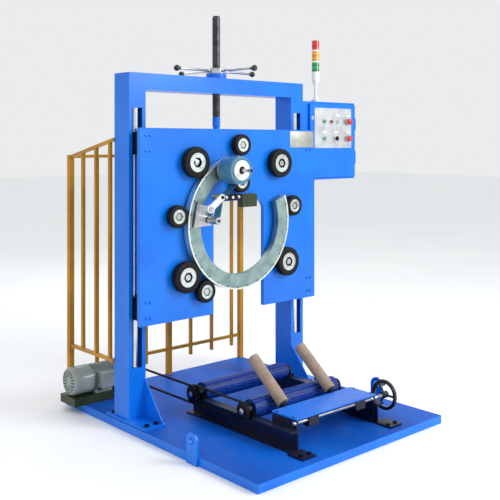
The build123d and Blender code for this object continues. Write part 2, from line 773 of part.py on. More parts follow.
def guide_arm():
    """Arm above the slot with the pad that steadies the coil's top."""
    z1 = DECK + SLOT_TOP + GUIDE_GAP + GUIDE_ARM_H
    x0 = SLOT_CENTRE - SLOT_W / 2 + GUIDE_ARM_IN
    x1 = x0 + GUIDE_ARM_L
    y0 = PANEL_FRONT - GUIDE_ARM_T
    arm = block(x0, x1, y0, PANEL_FRONT, z1 - GUIDE_ARM_H, z1)
    arm = chamfer(arm.edges().filter_by(Axis.Y).group_by(Axis.X)[0], GUIDE_ARM_CHAMFER)
    pad = block(x1, x1 + GUIDE_PAD_L, y0, PANEL_FRONT, z1 - GUIDE_PAD_H, z1)
    pad -= block(x1 - CUT, x1 + GUIDE_PAD_L + CUT, PANEL_FRONT - FACE_GAP, PANEL_FRONT + CUT,
                 z1 - GUIDE_PAD_H - CUT, DECK + SLOT_TOP)
    return [arm, fillet(pad.edges().filter_by(Axis.Y).group_by(Axis.X)[-1], GUIDE_PAD_ROUND)]


# ---------------------------------------------------------------- capstan nut


def nut_housing():
    body = rod_z(HOUSING_R, BEAM_TOP, BEAM_TOP + HOUSING_H, 0, PORTAL_MID_Y)
    return body - rod_z(SCREW_R + SCREW_CLEAR, BEAM_TOP - CUT, BEAM_TOP + HOUSING_H + CUT, 0, PORTAL_MID_Y)


def capstan_hub():
    hub = rod_z(HUB_R, HUB_Z0, HUB_Z0 + HUB_H, 0, PORTAL_MID_Y)
    hub = chamfer(hub.edges().group_by(Axis.Z)[-1], HUB_CHAMFER)
    hub -= rod_z(SCREW_R + RUN, HUB_Z0 - CUT, HUB_Z0 + HUB_H + CUT, 0, PORTAL_MID_Y)
    for index in range(ARMS):
        hub -= capstan_spoke(index)
    return hub


def capstan_spoke(index):
    """One arm, from inside the hub to its ball."""
    z = HUB_Z0 + HUB_H / 2
    start = SCREW_R + ARM_DEPTH
    length = ARM_REACH - start
    turn = Rot(0, 0, ARM_TURN + 360 / ARMS * index)
    spoke = Pos(start + length / 2, 0, 0) * Rot(0, 90, 0) * Cylinder(ARM_R, length)
    return Pos(0, PORTAL_MID_Y, z) * turn * spoke


def capstan_arms():
    z = HUB_Z0 + HUB_H / 2
    pieces = []
    for index in range(ARMS):
        turn = Rot(0, 0, ARM_TURN + 360 / ARMS * index)
        ball = Pos(0, PORTAL_MID_Y, z) * turn * Pos(ARM_REACH, 0, 0) * Sphere(KNOB_R)
        pieces += [capstan_spoke(index) - ball, ball]
    return pieces


# ---------------------------------------------------------------- wrapping ring


def wrap_ring():
    """C-shaped ring; the gap lets the coil in."""
    ring = rod_y(RING_R, RING_FRONT, RING_BACK, 0, RING_Z)
    ring -= rod_y(RING_IN_R, RING_FRONT - CUT, RING_BACK + CUT, 0, RING_Z)
    reach = RING_R * 2
    middle = (RING_GAP_FROM + RING_GAP_TO) / 2
    wedge = [(0, RING_Z)] + [on_ring(reach, a) for a in (RING_GAP_FROM, middle, RING_GAP_TO)]
    return ring - plate_xz(wedge, RING_FRONT - CUT, RING_BACK + CUT)


def film_place():
    return on_ring(RING_IN_R + FILM_OUT, FILM_ANGLE)


def film_spindle():
    """Flanged shaft bolted to the ring's face."""
    x, z = film_place()
    back = RING_FRONT - FILM_STANDOFF
    shaft = rod_y(SPINDLE_R, back - FILM_LENGTH - SPINDLE_TIP, RING_FRONT, x, z)
    return shaft + rod_y(SPINDLE_FLANGE_R, back + SPINDLE_FLANGE_GAP, RING_FRONT, x, z)


def film_roll():
    x, z = film_place()
    back = RING_FRONT - FILM_STANDOFF - CAP_T
    front = RING_FRONT - FILM_STANDOFF - FILM_LENGTH
    roll = rod_y(FILM_R, front, back, x, z)
    return roll - rod_y(CORE_R, front - CUT, back + CUT, x, z)


def film_hub():
    """Plug through the roll's core, with a cap in front and a flange behind."""
    x, z = film_place()
    back = RING_FRONT - FILM_STANDOFF
    front = back - FILM_LENGTH
    hub = rod_y(CORE_R, front, back - CAP_T, x, z)
    hub += rod_y(CAP_R, front - CAP_T, front, x, z)
    hub += rod_y(BACK_FLANGE_R, back - CAP_T, back, x, z)
    hub -= rod_y(CAP_RECESS_R, front - CAP_T - CUT, front + CAP_RECESS_L, x, z)
    return hub - rod_y(SPINDLE_R + RUN, front - CAP_T - CUT, back + CUT, x, z)


def lever_places():
    """Pivot and roller centres of the tension lever."""
    px, pz = on_ring(LEVER_PIVOT_R, LEVER_ANGLE)
    rx = px + LEVER_LENGTH * cos(radians(LEVER_SLOPE))
    rz = pz + LEVER_LENGTH * sin(radians(LEVER_SLOPE))
    return px, pz, rx, rz


def tension_lever():
    """Lever with a pivot boss at one end and the roller's pin at the other."""
    px, pz, rx, rz = lever_places()
    y0 = RING_FRONT - LEVER_FRONT
    y1 = y0 + LEVER_T
    bar = Box(LEVER_LENGTH, LEVER_T, LEVER_W * LEVER_WAIST)
    turn = Rot(0, -LEVER_SLOPE, 0)
    arm = Pos((px + rx) / 2, (y0 + y1) / 2, (pz + rz) / 2) * turn * bar
    arm += rod_y(LEVER_W / 2, y0, y1, px, pz)
    arm += rod_y(LEVER_END_R, y0, y1, rx, rz)
    arm += rod_y(LEVER_BOSS_R, y0, RING_FRONT - BRACKET_LIFT - BRACKET_PLATE - FACE_GAP, px, pz)
    arm -= rod_y(PIVOT_PIN_R + RUN, y0 - CUT, RING_FRONT, px, pz)
    pin = rod_y(TENSION_PIN_R, y1 - CUT, RING_FRONT - PIN_TAIL, rx, rz)
    return arm + pin


def tension_roller(x, z):
    y0 = RING_FRONT - LEVER_FRONT + LEVER_T + ROLLER_SIDE
    roller = rod_y(TENSION_R, y0, RING_FRONT - ROLLER_TAIL, x, z)
    return roller - rod_y(TENSION_PIN_R + RUN, y0 - CUT, RING_FRONT, x, z)


def fixed_roller():
    x, z = on_ring(FIXED_R, FIXED_ANGLE)
    y0 = RING_FRONT - LEVER_FRONT - ROLLER_SIDE
    roller = rod_y(TENSION_R + FIXED_OVER, y0, RING_FRONT - ROLLER_TAIL, x, z)
    return roller - rod_y(TENSION_PIN_R + RUN, y0 - CUT, RING_FRONT, x, z)


def roller_bracket():
    """Plate on the ring's face with the lever's pivot pin and the fixed roller's pin."""
    px, pz, _, _ = lever_places()
    fx, fz = on_ring(FIXED_R, FIXED_ANGLE)
    face = RING_FRONT - BRACKET_LIFT
    inner = FIXED_R - TENSION_R
    outer = LEVER_PIVOT_R + BRACKET_OUT
    corners = [on_ring(inner, BRACKET_INNER[0]), on_ring(outer, BRACKET_OUTER[0]),
               on_ring(outer, BRACKET_OUTER[1]), on_ring(inner, BRACKET_INNER[1])]
    plate = plate_xz(corners, face - BRACKET_PLATE, face)
    for angle in BRACKET_STUDS:
        x, z = on_ring(LEVER_PIVOT_R + STUD_OUT, angle)
        plate += rod_y(STUD_R, face, RING_FRONT, x, z)
    lever_face = RING_FRONT - LEVER_FRONT
    plate += rod_y(PIVOT_PIN_R, lever_face - PIVOT_HEAD_OUT, face, px, pz)
    plate += rod_y(PIVOT_HEAD_R, lever_face - PIVOT_HEAD_OUT, lever_face - FACE_GAP, px, pz)
    plate += rod_y(TENSION_PIN_R, lever_face - FIXED_PIN_OUT, face, fx, fz)
    return plate


# ---------------------------------------------------------------- roller bed


def bed_rails():
    """Two channel rails with their front feet."""
    rails = []
    for side in (-1, 1):
        web = sorted((BED_CENTRE + side * (BED_HALF - RAIL_T), BED_CENTRE + side * BED_HALF))
        flange = sorted((BED_CENTRE + side * BED_HALF, BED_CENTRE + side * (BED_HALF + RAIL_FLANGE)))
        rail = block(*web, BED_FRONT, BED_BACK, DECK, RAIL_TOP)
        rail += block(*flange, BED_FRONT, BED_BACK, DECK, DECK + RAIL_T)
        rail += block(*flange, BED_FRONT, BED_BACK, RAIL_TOP - RAIL_T, RAIL_TOP)
        x, _ = bed_foot_centre(side)
        foot = block(x - BED_FOOT_X / 2, x + BED_FOOT_X / 2, BED_FRONT - BED_FOOT_Y, BED_FRONT,
                     DECK, DECK + BED_FOOT_T)
        rails += [rail, foot]
    return rails


def roller_bearings():
    """Pillow blocks on the rails."""
    blocks = []
    for side in (-1, 1):
        x = BED_CENTRE + side * (BED_HALF + RAIL_FLANGE / 2)
        for y in (FRONT_ROLLER_Y, REAR_ROLLER_Y):
            foot = block(x - PILLOW_W / 2, x + PILLOW_W / 2, y - PILLOW_L / 2, y + PILLOW_L / 2,
                         RAIL_TOP, RAIL_TOP + PILLOW_FOOT_H)
            ear = rod_x(SHAFT_R + PILLOW_WALL, x - PILLOW_W / 2, x + PILLOW_W / 2, y, ROLLER_AXIS_Z)
            ear -= block(x - PILLOW_W, x + PILLOW_W, y - PILLOW_L, y + PILLOW_L, DECK, RAIL_TOP)
            hole = rod_x(SHAFT_R + RUN, x - PILLOW_W, x + PILLOW_W, y, ROLLER_AXIS_Z)
            blocks.append(foot + ear - hole)
    return blocks


def sprocket(x, y):
    return rod_x(SPROCKET_R, x - SPROCKET_T / 2, x + SPROCKET_T / 2, y, ROLLER_AXIS_Z)


def support_roller(y, sprocket_places):
    """Roller tube on its shaft, with its chain wheels on the left end."""
    x0 = BED_LEFT + RAIL_T + ROLLER_GAP
    x1 = BED_RIGHT - RAIL_T - ROLLER_GAP
    tube = rod_x(ROLLER_R, x0, x1, y, ROLLER_AXIS_Z)
    tube = chamfer(tube.edges(), ROLLER_CHAMFER) - rod_x(SHAFT_R, x0 - CUT, x1 + CUT, y, ROLLER_AXIS_Z)
    left = min(sprocket_places) - SPROCKET_T
    right = BED_RIGHT + RAIL_FLANGE + SHAFT_END
    shaft = rod_x(SHAFT_R, left, right, y, ROLLER_AXIS_Z)
    wheels = [sprocket(x, y) - shaft for x in sprocket_places]
    return [tube, shaft] + wheels


def chain_loop(x, y0, y1):
    """A roller chain's closed run round two equal chain wheels."""
    inner_r = SPROCKET_R + CHAIN_CLEAR

    def stadium(radius, x0, x1):
        body = block(x0, x1, y0, y1, ROLLER_AXIS_Z - radius, ROLLER_AXIS_Z + radius)
        body += rod_x(radius, x0, x1, y0, ROLLER_AXIS_Z)
        return body + rod_x(radius, x0, x1, y1, ROLLER_AXIS_Z)

    x0 = x - CHAIN_W / 2
    x1 = x + CHAIN_W / 2
    return stadium(inner_r + CHAIN_T, x0, x1) - stadium(inner_r, x0 - CUT, x1 + CUT)


# ---------------------------------------------------------------- cross slide


def slide_bridge():
    """Cover plate on two end plates, with holes for the cross screw."""
    x0 = BED_CENTRE - COVER_HALF
    x1 = BED_CENTRE + COVER_HALF
    y1 = COVER_FRONT + COVER_D
    cover = block(x0, x1, COVER_FRONT, y1, COVER_Z - COVER_T, COVER_Z)
    pieces = [cover]
    for a, b in ((x0, x0 + END_PLATE_T), (x1 - END_PLATE_T, x1)):
        plate = block(a, b, COVER_FRONT + COVER_LIP, y1 - COVER_LIP, DECK, COVER_Z - COVER_T)
        plate -= rod_x(CROSS_SCREW_R + RUN, a - CUT, b + CUT, CROSS_SCREW_Y, SCREW_LINE_Z)
        pieces.append(plate)
    return pieces


def cross_screw():
    """Left- and right-hand screw, plain at its ends and in the middle."""
    x0 = BED_CENTRE - COVER_HALF - CROSS_END
    x1 = BED_RIGHT + RAIL_FLANGE + WHEEL_CLEAR + WHEEL_HUB_L
    return rod_x(CROSS_SCREW_R, x0, x1, CROSS_SCREW_Y, SCREW_LINE_Z)


def handwheel():
    """Rim, three spokes, hub and a crank handle."""
    x0 = BED_RIGHT + RAIL_FLANGE + WHEEL_CLEAR
    rim_x = x0 + WHEEL_HUB_L / 2
    wheel = rod_x(WHEEL_HUB_R, x0, x0 + WHEEL_HUB_L, CROSS_SCREW_Y, SCREW_LINE_Z)
    centre = Pos(rim_x, CROSS_SCREW_Y, SCREW_LINE_Z)
    rim = rod_x(WHEEL_RIM_R, rim_x - WHEEL_TUBE_R, rim_x + WHEEL_TUBE_R, CROSS_SCREW_Y, SCREW_LINE_Z)
    rim -= rod_x(WHEEL_RIM_R - 2 * WHEEL_TUBE_R, x0, x0 + WHEEL_HUB_L, CROSS_SCREW_Y, SCREW_LINE_Z)
    rim = fillet(rim.edges(), WHEEL_TUBE_R * WHEEL_ROUND)
    reach = WHEEL_RIM_R - WHEEL_TUBE_R
    for index in range(SPOKES):
        turn = Rot(90 + 360 / SPOKES * index, 0, 0)
        wheel += centre * turn * Pos(0, 0, reach / 2) * Cylinder(SPOKE_R, reach)
    wheel += rim
    handle = CRANK_L + WHEEL_TUBE_R
    crank_start = WHEEL_TUBE_R + handle / 2
    crank = Pos(crank_start, 0, reach) * Rot(0, 90, 0) * Cylinder(CRANK_R, handle)
    crank = centre * Rot(CRANK_ANGLE, 0, 0) * crank
    wheel -= rod_x(CROSS_SCREW_R, x0 - CUT, x0 + WHEEL_HUB_L + CUT, CROSS_SCREW_Y, SCREW_LINE_Z)
    return [wheel, crank]


def guide_frame(side):
    """Local frame at a guide roller's foot, with its Z along the leaning axis."""
    x = BED_CENTRE + side * SLIDE_REST
    return Pos(x, GUIDE_BASE_Y, DECK + GUIDE_BASE_Z) * Rot(-(90 - GUIDE_TILT), 0, 0)


def slide_block(side):
    """Nut block, arm under the cover and the leaning spindle of one guide roller."""
    x = BED_CENTRE + side * SLIDE_REST
    z1 = COVER_Z - COVER_T - BLOCK_UNDER
    y0 = CROSS_SCREW_Y - BLOCK_FRONT
    y1 = y0 + BLOCK_Y
    nut = block(x - BLOCK_HALF, x + BLOCK_HALF, y0, y1, z1 - BLOCK_Z, z1)
    bore = BLOCK_HALF + CUT
    nut -= rod_x(CROSS_SCREW_R + RUN, x - bore, x + bore, CROSS_SCREW_Y, SCREW_LINE_Z)
    low = z1 - BLOCK_Z
    x0 = x - SLIDE_ARM_HALF
    x1 = x + SLIDE_ARM_HALF
    back = GUIDE_BASE_Y + POST_BACK
    arm = block(x0, x1, y1, back, low, low + SLIDE_ARM_T)
    post = block(x0, x1, GUIDE_BASE_Y - POST_FRONT, back, low, DECK + GUIDE_BASE_Z - POST_DROP)
    pin_l = GUIDE_PIN_IN + GUIDE_L - GUIDE_PIN_OUT
    spindle = Pos(0, 0, pin_l / 2 - GUIDE_PIN_IN) * Cylinder(GUIDE_PIN_R, pin_l)
    foot = Pos(0, 0, -GUIDE_FOOT_GAP - GUIDE_FOOT_L / 2) * Cylinder(GUIDE_FOOT_R, GUIDE_FOOT_L)
    return nut + arm + post + guide_frame(side) * foot + guide_frame(side) * spindle


def guide_roller(side):
    roller = guide_frame(side) * Pos(0, 0, GUIDE_L / 2) * Cylinder(GUIDE_R, GUIDE_L)
    roller = chamfer(roller.edges(), GUIDE_CHAMFER)
    bore_l = GUIDE_L + 2 * GUIDE_BORE_END
    bore = Pos(0, 0, GUIDE_L / 2 - GUIDE_BORE_END) * Cylinder(GUIDE_PIN_R + RUN, bore_l)
    return roller - guide_frame(side) * bore


# ---------------------------------------------------------------- roller drive


def drive_motor():
    """Fan cover, finned body and terminal box of the roller motor."""
    x1 = MOTOR_LEFT + FAN_COVER_L
    x2 = x1 + MOTOR_BODY_L
    cover = rod_x(MOTOR_R, MOTOR_LEFT, x1, MOTOR_Y, ROLLER_AXIS_Z)
    cover = fillet(cover.edges().group_by(Axis.X)[0], FAN_COVER_ROUND)
    body = rod_x(MOTOR_R - MOTOR_BODY_IN, x1, x2, MOTOR_Y, ROLLER_AXIS_Z)
    side = MOTOR_Y - MOTOR_R
    box = block(x1 + TERMINAL_END, x2 - TERMINAL_END, side - TERMINAL_OUT, side + TERMINAL_IN,
                ROLLER_AXIS_Z - TERMINAL_HALF, ROLLER_AXIS_Z + TERMINAL_HALF)
    low = ROLLER_AXIS_Z - MOTOR_FOOT
    feet = block(x1 + MOTOR_FEET_END, x2 - MOTOR_FEET_END, MOTOR_Y - MOTOR_FEET_HALF,
                 MOTOR_Y + MOTOR_FEET_HALF, low, low + MOTOR_FEET_H)
    return [cover, body + box + feet]


def motor_bracket():
    """Inverted tray that holds the motor above the deck and past its edge."""
    top = ROLLER_AXIS_Z - MOTOR_FOOT
    x0 = MOTOR_LEFT - BRACKET_OVER
    x1 = DRIVE_X - BRACKET_SHORT
    half = MOTOR_R
    tray = block(x0, x1, MOTOR_Y - half, MOTOR_Y + half, DECK, top)
    sheet = BRACKET_SHEET
    return tray - block(x0 + sheet, x1 + CUT, MOTOR_Y - half + sheet, MOTOR_Y + half - sheet,
                        DECK - CUT, top - sheet)


def gear_reducer():
    """In-line reducer with the motor's flange and the output bearing boss."""
    x0 = MOTOR_LEFT + FAN_COVER_L + MOTOR_BODY_L
    x1 = DRIVE_X - SPROCKET_T / 2 - REDUCER_GAP
    flange = rod_x(MOTOR_FLANGE_R, x0, x0 + MOTOR_FLANGE_T, MOTOR_Y, ROLLER_AXIS_Z)
    half = REDUCER_W / 2
    top = ROLLER_AXIS_Z - MOTOR_FOOT
    side = half - REDUCER_SIDE
    boss_x = x1 - REDUCER_BOSS_L
    case = block(x0 + MOTOR_FLANGE_T, boss_x, MOTOR_Y - side, MOTOR_Y + side, top,
                 ROLLER_AXIS_Z + half - REDUCER_TOP)
    case = fillet(case.edges().filter_by(Axis.X).group_by(Axis.Z)[-1], REDUCER_ROUND)
    boss = rod_x(SHAFT_R + REDUCER_BOSS_WALL, boss_x, x1, MOTOR_Y, ROLLER_AXIS_Z)
    bore = rod_x(SHAFT_R + RUN, x1 - REDUCER_BORE, x1 + CUT, MOTOR_Y, ROLLER_AXIS_Z)
    return flange + case + boss - bore


def drive_sprocket():
    """Output shaft of the reducer with its chain wheel."""
    x1 = DRIVE_X - SPROCKET_T / 2 - REDUCER_GAP
    x2 = DRIVE_X + SPROCKET_T / 2 + SHAFT_END
    shaft = rod_x(SHAFT_R, x1 - OUTPUT_SHAFT_L, x2, MOTOR_Y, ROLLER_AXIS_Z)
    return [shaft, sprocket(DRIVE_X, MOTOR_Y) - shaft]


# ---------------------------------------------------------------- control box


def hinge_spans():
    inset = DOOR_H / HINGE_SPLIT
    return [(z, z + HINGE_L) for z in (DOOR_Z0 + inset, DOOR_Z1 - inset - HINGE_L)]


def control_box():
    """Sheet box with a front lip, and the two hinge pins on its lip."""
    front = PORTAL_FRONT
    shell = block(BOX_X0, BOX_X1, front, front + BOX_D, BOX_Z0, BOX_Z1)
    shell -= block(BOX_X0 + BOX_SHEET, BOX_X1 - BOX_SHEET, front + BOX_SHEET,
                   front + BOX_D - BOX_SHEET, BOX_Z0 + BOX_SHEET, BOX_Z1 - BOX_SHEET)
    lip = BOX_LIP
    shell -= block(DOOR_X0 + lip / 2, DOOR_X1 - lip / 2, front - CUT, front + BOX_SHEET + CUT,
                   DOOR_Z0 + lip / 2, DOOR_Z1 - lip / 2)
    shell -= rod_z(TOWER_WIRE_R, BOX_Z1 - BOX_SHEET - CUT, BOX_Z1 + CUT, BOX_X0 + TOWER_X,
                   PORTAL_FRONT + TOWER_Y)
    pieces = [shell]
    for z0, z1 in hinge_spans():
        low = z0 - HINGE_EAR_L
        high = z1 + HINGE_EAR_L
        pin = rod_z(HINGE_R, low, high, HINGE_X, HINGE_Y)
        for a, b in ((low, z0 - HINGE_PLAY), (z1 + HINGE_PLAY, high)):
            x0 = HINGE_X - HINGE_SLEEVE_R + HINGE_BACK
            ear = block(x0, HINGE_X + HINGE_SLEEVE_R, HINGE_Y, PORTAL_FRONT, a, b)
            ear -= block(DOOR_X0, DOOR_X1 + CUT, DOOR_FRONT - CUT, PORTAL_FRONT - HINGE_EAR_GAP,
                         a - CUT, b + CUT)
            pin += ear
        pieces.append(pin)
    return pieces


def door_holes():
    """Centres and radii of the holes in the door and instrument plate."""
    holes = [(PLATE_X + x, PLATE_Z + ROW_UP) for x in (*LAMP_X, SELECTOR_X[0], MUSHROOM_X)]
    holes += [(PLATE_X + x, PLATE_Z + ROW_DOWN) for x in (LAMP_X[0], SELECTOR_X[1], MUSHROOM_X)]
    return holes


def box_door():
    """Folded door with two hinge sleeves."""
    sheet = BOX_SHEET
    y1 = DOOR_FRONT + DOOR_D
    door = block(DOOR_X0, DOOR_X1, DOOR_FRONT, y1, DOOR_Z0, DOOR_Z1)
    door -= block(DOOR_X0 + sheet, DOOR_X1 - sheet, DOOR_FRONT + sheet, y1 + CUT,
                  DOOR_Z0 + sheet, DOOR_Z1 - sheet)
    for z0, z1 in hinge_spans():
        low = z0 - HINGE_NOTCH
        high = z1 + HINGE_NOTCH
        notch_x = DOOR_X1 - HINGE_NOTCH_W
        door -= block(notch_x, DOOR_X1 + CUT, DOOR_FRONT - CUT, y1 + CUT, low, high)
        web = block(notch_x - sheet, HINGE_X, DOOR_FRONT, DOOR_FRONT + sheet, z0, z1)
        wall = block(notch_x - sheet, notch_x, DOOR_FRONT, y1, low, high)
        sleeve = rod_z(HINGE_SLEEVE_R, z0, z1, HINGE_X, HINGE_Y)
        door += web + wall + sleeve
        door -= rod_z(HINGE_R + RUN, z0 - CUT, z1 + CUT, HINGE_X, HINGE_Y)
    for x, z in door_holes():
        door -= rod_y(BUTTON_R + RUN, DOOR_FRONT - CUT, DOOR_FRONT + sheet + CUT, x, z)
    return door


def instrument_plate():
    """Aluminium plate with bezels, and the two pilot lamps."""
    plate = block(PLATE_X - PLATE_W / 2, PLATE_X + PLATE_W / 2, PLATE_FRONT, DOOR_FRONT,
                  PLATE_Z - PLATE_H / 2, PLATE_Z + PLATE_H / 2)
    for x, z in door_holes():
        plate -= rod_y(BUTTON_R + RUN, PLATE_FRONT - CUT, DOOR_FRONT + CUT, x, z)
    pieces = []
    for index, (x, z) in enumerate(door_holes()):
        bezel = rod_y(BEZEL_R, BEZEL_FRONT, PLATE_FRONT, x, z)
        bezel -= rod_y(BUTTON_R + RUN, BEZEL_FRONT - CUT, PLATE_FRONT + CUT, x, z)
        plate += bezel
        if index < len(LAMP_X):
            lamp = rod_y(BUTTON_R, BEZEL_FRONT - LAMP_OUT, DOOR_FRONT + BUTTON_DEPTH, x, z)
            pieces.append(fillet(lamp.edges().group_by(Axis.Y)[0], LAMP_ROUND))
    return [plate] + pieces


def push_button(x, z):
    button = rod_y(BUTTON_R, BEZEL_FRONT - BUTTON_OUT, DOOR_FRONT + BUTTON_DEPTH, x, z)
    return chamfer(button.edges().group_by(Axis.Y)[0], BUTTON_CHAMFER)


def selector(x, z):
    """Turning knob with a raised grip bar."""
    knob = rod_y(BUTTON_R, BEZEL_FRONT - SELECTOR_OUT, DOOR_FRONT + BUTTON_DEPTH, x, z)
    reach = BUTTON_R + GRIP_OVER
    grip = block(x - GRIP_HALF, x + GRIP_HALF, BEZEL_FRONT - GRIP_OUT, BEZEL_FRONT - SELECTOR_OUT,
                 z - reach, z + reach)
    return knob + fillet(grip.edges().filter_by(Axis.Y), GRIP_ROUND)


def mushroom(x, z):
    stem = rod_y(BUTTON_R, BEZEL_FRONT - MUSHROOM_STEM, DOOR_FRONT + BUTTON_DEPTH, x, z)
    cap = rod_y(MUSHROOM_R, BEZEL_FRONT - MUSHROOM_TOP, BEZEL_FRONT - MUSHROOM_UNDER, x, z)
    return stem + fillet(cap.edges().group_by(Axis.Y)[0], MUSHROOM_ROUND)


# ---------------------------------------------------------------- signal tower


def tower_levels():
    """Heights of the boss, nut, pole, body and first lens."""
    boss = BOX_Z1 + TOWER_BOSS_H
    nut = boss + TOWER_NUT_H
    body = nut + TOWER_POLE_H - TOWER_NUT_H
    return boss, nut, body, body + TOWER_BODY_H


def signal_tower():
    """Boss, nut, pole, tapered body and the clear spacers under each lens."""
    x = BOX_X0 + TOWER_X
    y = PORTAL_FRONT + TOWER_Y
    boss, nut, body, lens = tower_levels()
    tower = rod_z(TOWER_BOSS_R, BOX_Z1, boss, x, y) + hexagon_z(TOWER_NUT_R, boss, nut, x, y)
    tower += rod_z(TOWER_POLE_R, nut, body + CUT, x, y)
    taper = Cone(TOWER_R - TOWER_TAPER, TOWER_R, TOWER_TAPER_H)
    tower += Pos(x, y, body + TOWER_TAPER_H / 2) * taper
    tower += rod_z(TOWER_R, body + TOWER_TAPER_H, lens, x, y)
    top = lens + (LENSES - CUT) * LENS_PITCH + LENS_H
    tower += rod_z(TOWER_STEM_R, lens, top - TOWER_STEM_SHORT, x, y)
    for index in range(1, LENSES):
        low = lens + index * LENS_PITCH
        tower += rod_z(TOWER_R - SPACER_IN, low - (LENS_PITCH - LENS_H), low, x, y)
    return tower


def tower_lenses():
    x = BOX_X0 + TOWER_X
    y = PORTAL_FRONT + TOWER_Y
    lens = tower_levels()[3]
    shells = []
    for index in range(LENSES):
        low = lens + index * LENS_PITCH
        shell = rod_z(TOWER_R, low, low + LENS_H, x, y)
        closed = index == LENSES - 1
        top = LENS_H - LENS_WALL if closed else LENS_H + CUT
        shells.append(shell - rod_z(TOWER_R - LENS_WALL, low - CUT, low + top, x, y))
    return shells


os.makedirs("parts", exist_ok=True)

save("base_plate", *base_plate())
save("left_column", *column(-1))
save("right_column", *column(1))
save("top_beam", top_beam())
save("anchor_bolts", *anchor_bolts())
save("guide_rods", *guide_rods())
save("fence", *fence())

save("ring_panel", ring_panel())
save("slide_bearings", *slide_bearings())
save("screw_bracket", screw_bracket())
save("lead_screw", lead_screw())
save("ring_gearmotor", ring_gearmotor())
save("wheel_axles", *wheel_axles())
save("guide_arm", *guide_arm())
for wheel in wheel_places():
    save(wheel[0], *guide_wheel(*wheel))

save("nut_housing", nut_housing())
save("capstan_hub", capstan_hub())
save("capstan_arms", *capstan_arms())

save("wrap_ring", wrap_ring())
save("film_spindle", film_spindle())
save("film_roll", film_roll())
save("film_hub", film_hub())
save("roller_bracket", roller_bracket())
save("tension_lever", tension_lever())
save("lever_roller", tension_roller(*lever_places()[2:]))
save("fixed_roller", fixed_roller())

save("bed_rails", *bed_rails())
save("roller_bearings", *roller_bearings())
save("front_roller", *support_roller(FRONT_ROLLER_Y, [LINK_X]))
save("rear_roller", *support_roller(REAR_ROLLER_Y, [LINK_X, DRIVE_X]))
save("drive_chains", chain_loop(LINK_X, FRONT_ROLLER_Y, REAR_ROLLER_Y),
     chain_loop(DRIVE_X, REAR_ROLLER_Y, MOTOR_Y))

save("slide_bridge", *slide_bridge())
save("cross_screw", cross_screw())
save("handwheel", *handwheel())
for name, side in (("left", -1), ("right", 1)):
    save(f"slide_block_{name}", slide_block(side))
    save(f"guide_roller_{name}", guide_roller(side))

save("drive_motor", *drive_motor())
save("motor_bracket", motor_bracket())
save("gear_reducer", gear_reducer())
save("drive_sprocket", *drive_sprocket())

save("control_box", *control_box())
save("box_door", box_door())
save("instrument_plate", *instrument_plate())
save("start_button", push_button(PLATE_X + LAMP_X[0], PLATE_Z + ROW_DOWN))
save("upper_selector", selector(PLATE_X + SELECTOR_X[0], PLATE_Z + ROW_UP))
save("lower_selector", selector(PLATE_X + SELECTOR_X[1], PLATE_Z + ROW_DOWN))
save("upper_stop_button", mushroom(PLATE_X + MUSHROOM_X, PLATE_Z + ROW_UP))
save("lower_stop_button", mushroom(PLATE_X + MUSHROOM_X, PLATE_Z + ROW_DOWN))
save("signal_tower", signal_tower())
save("tower_lenses", *tower_lenses())
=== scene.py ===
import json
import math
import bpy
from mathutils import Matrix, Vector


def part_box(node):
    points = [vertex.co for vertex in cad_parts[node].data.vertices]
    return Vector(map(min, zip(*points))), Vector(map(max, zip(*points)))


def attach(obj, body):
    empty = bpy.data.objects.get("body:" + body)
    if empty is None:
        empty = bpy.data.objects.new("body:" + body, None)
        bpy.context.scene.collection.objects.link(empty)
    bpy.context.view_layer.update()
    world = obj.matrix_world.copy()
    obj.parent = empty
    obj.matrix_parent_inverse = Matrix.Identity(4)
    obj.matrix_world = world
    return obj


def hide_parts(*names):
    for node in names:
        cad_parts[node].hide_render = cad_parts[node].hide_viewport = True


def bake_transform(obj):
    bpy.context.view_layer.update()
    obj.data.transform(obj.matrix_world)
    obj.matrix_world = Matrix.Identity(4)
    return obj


bl_info = {
    "name": "Coil wrapping machine",
    "version": (1, 0, 0),
    "blender": (4, 5, 0),
    "location": "View3D > Sidebar > Wrapper",
    "description": "Builds the finished look of a portal coil wrapping machine around its CAD frame",
    "category": "Object",
}

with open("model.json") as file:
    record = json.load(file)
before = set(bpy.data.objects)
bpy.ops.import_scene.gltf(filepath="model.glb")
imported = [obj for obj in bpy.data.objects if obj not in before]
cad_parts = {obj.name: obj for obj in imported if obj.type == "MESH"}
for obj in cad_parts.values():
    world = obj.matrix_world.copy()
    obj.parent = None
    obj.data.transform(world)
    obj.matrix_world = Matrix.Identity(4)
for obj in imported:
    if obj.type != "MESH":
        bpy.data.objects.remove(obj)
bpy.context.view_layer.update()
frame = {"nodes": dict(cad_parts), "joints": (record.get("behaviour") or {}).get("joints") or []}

MM = 0.001
SMOOTH_ANGLE = math.radians(32)
X_AXIS = Vector((1, 0, 0))
Y_AXIS = Vector((0, 1, 0))
Z_AXIS = Vector((0, 0, 1))
BIG_WHEELS = ("big_wheel_1", "big_wheel_2", "big_wheel_3", "big_wheel_4")
SMALL_WHEELS = ("small_wheel_1", "small_wheel_2", "small_wheel_3", "small_wheel_4", "inner_wheel")
DEVICES = ("start_button", "upper_selector", "lower_selector", "upper_stop_button", "lower_stop_button")
JOINTS = {joint["name"]: joint for joint in frame["joints"]}
COVER_THICK = 0.008
GUIDE_ARM_LENGTH = 0.150
DUST_AMOUNT = 0.03
BUMP_STRENGTH = 0.6
RIM_START_MM = 366
BEARING_HALF = 0.019
BEARING_FOOT = 0.012
GUIDE_ROLLER_LENGTH = 0.296
LENS_PITCH = 0.071

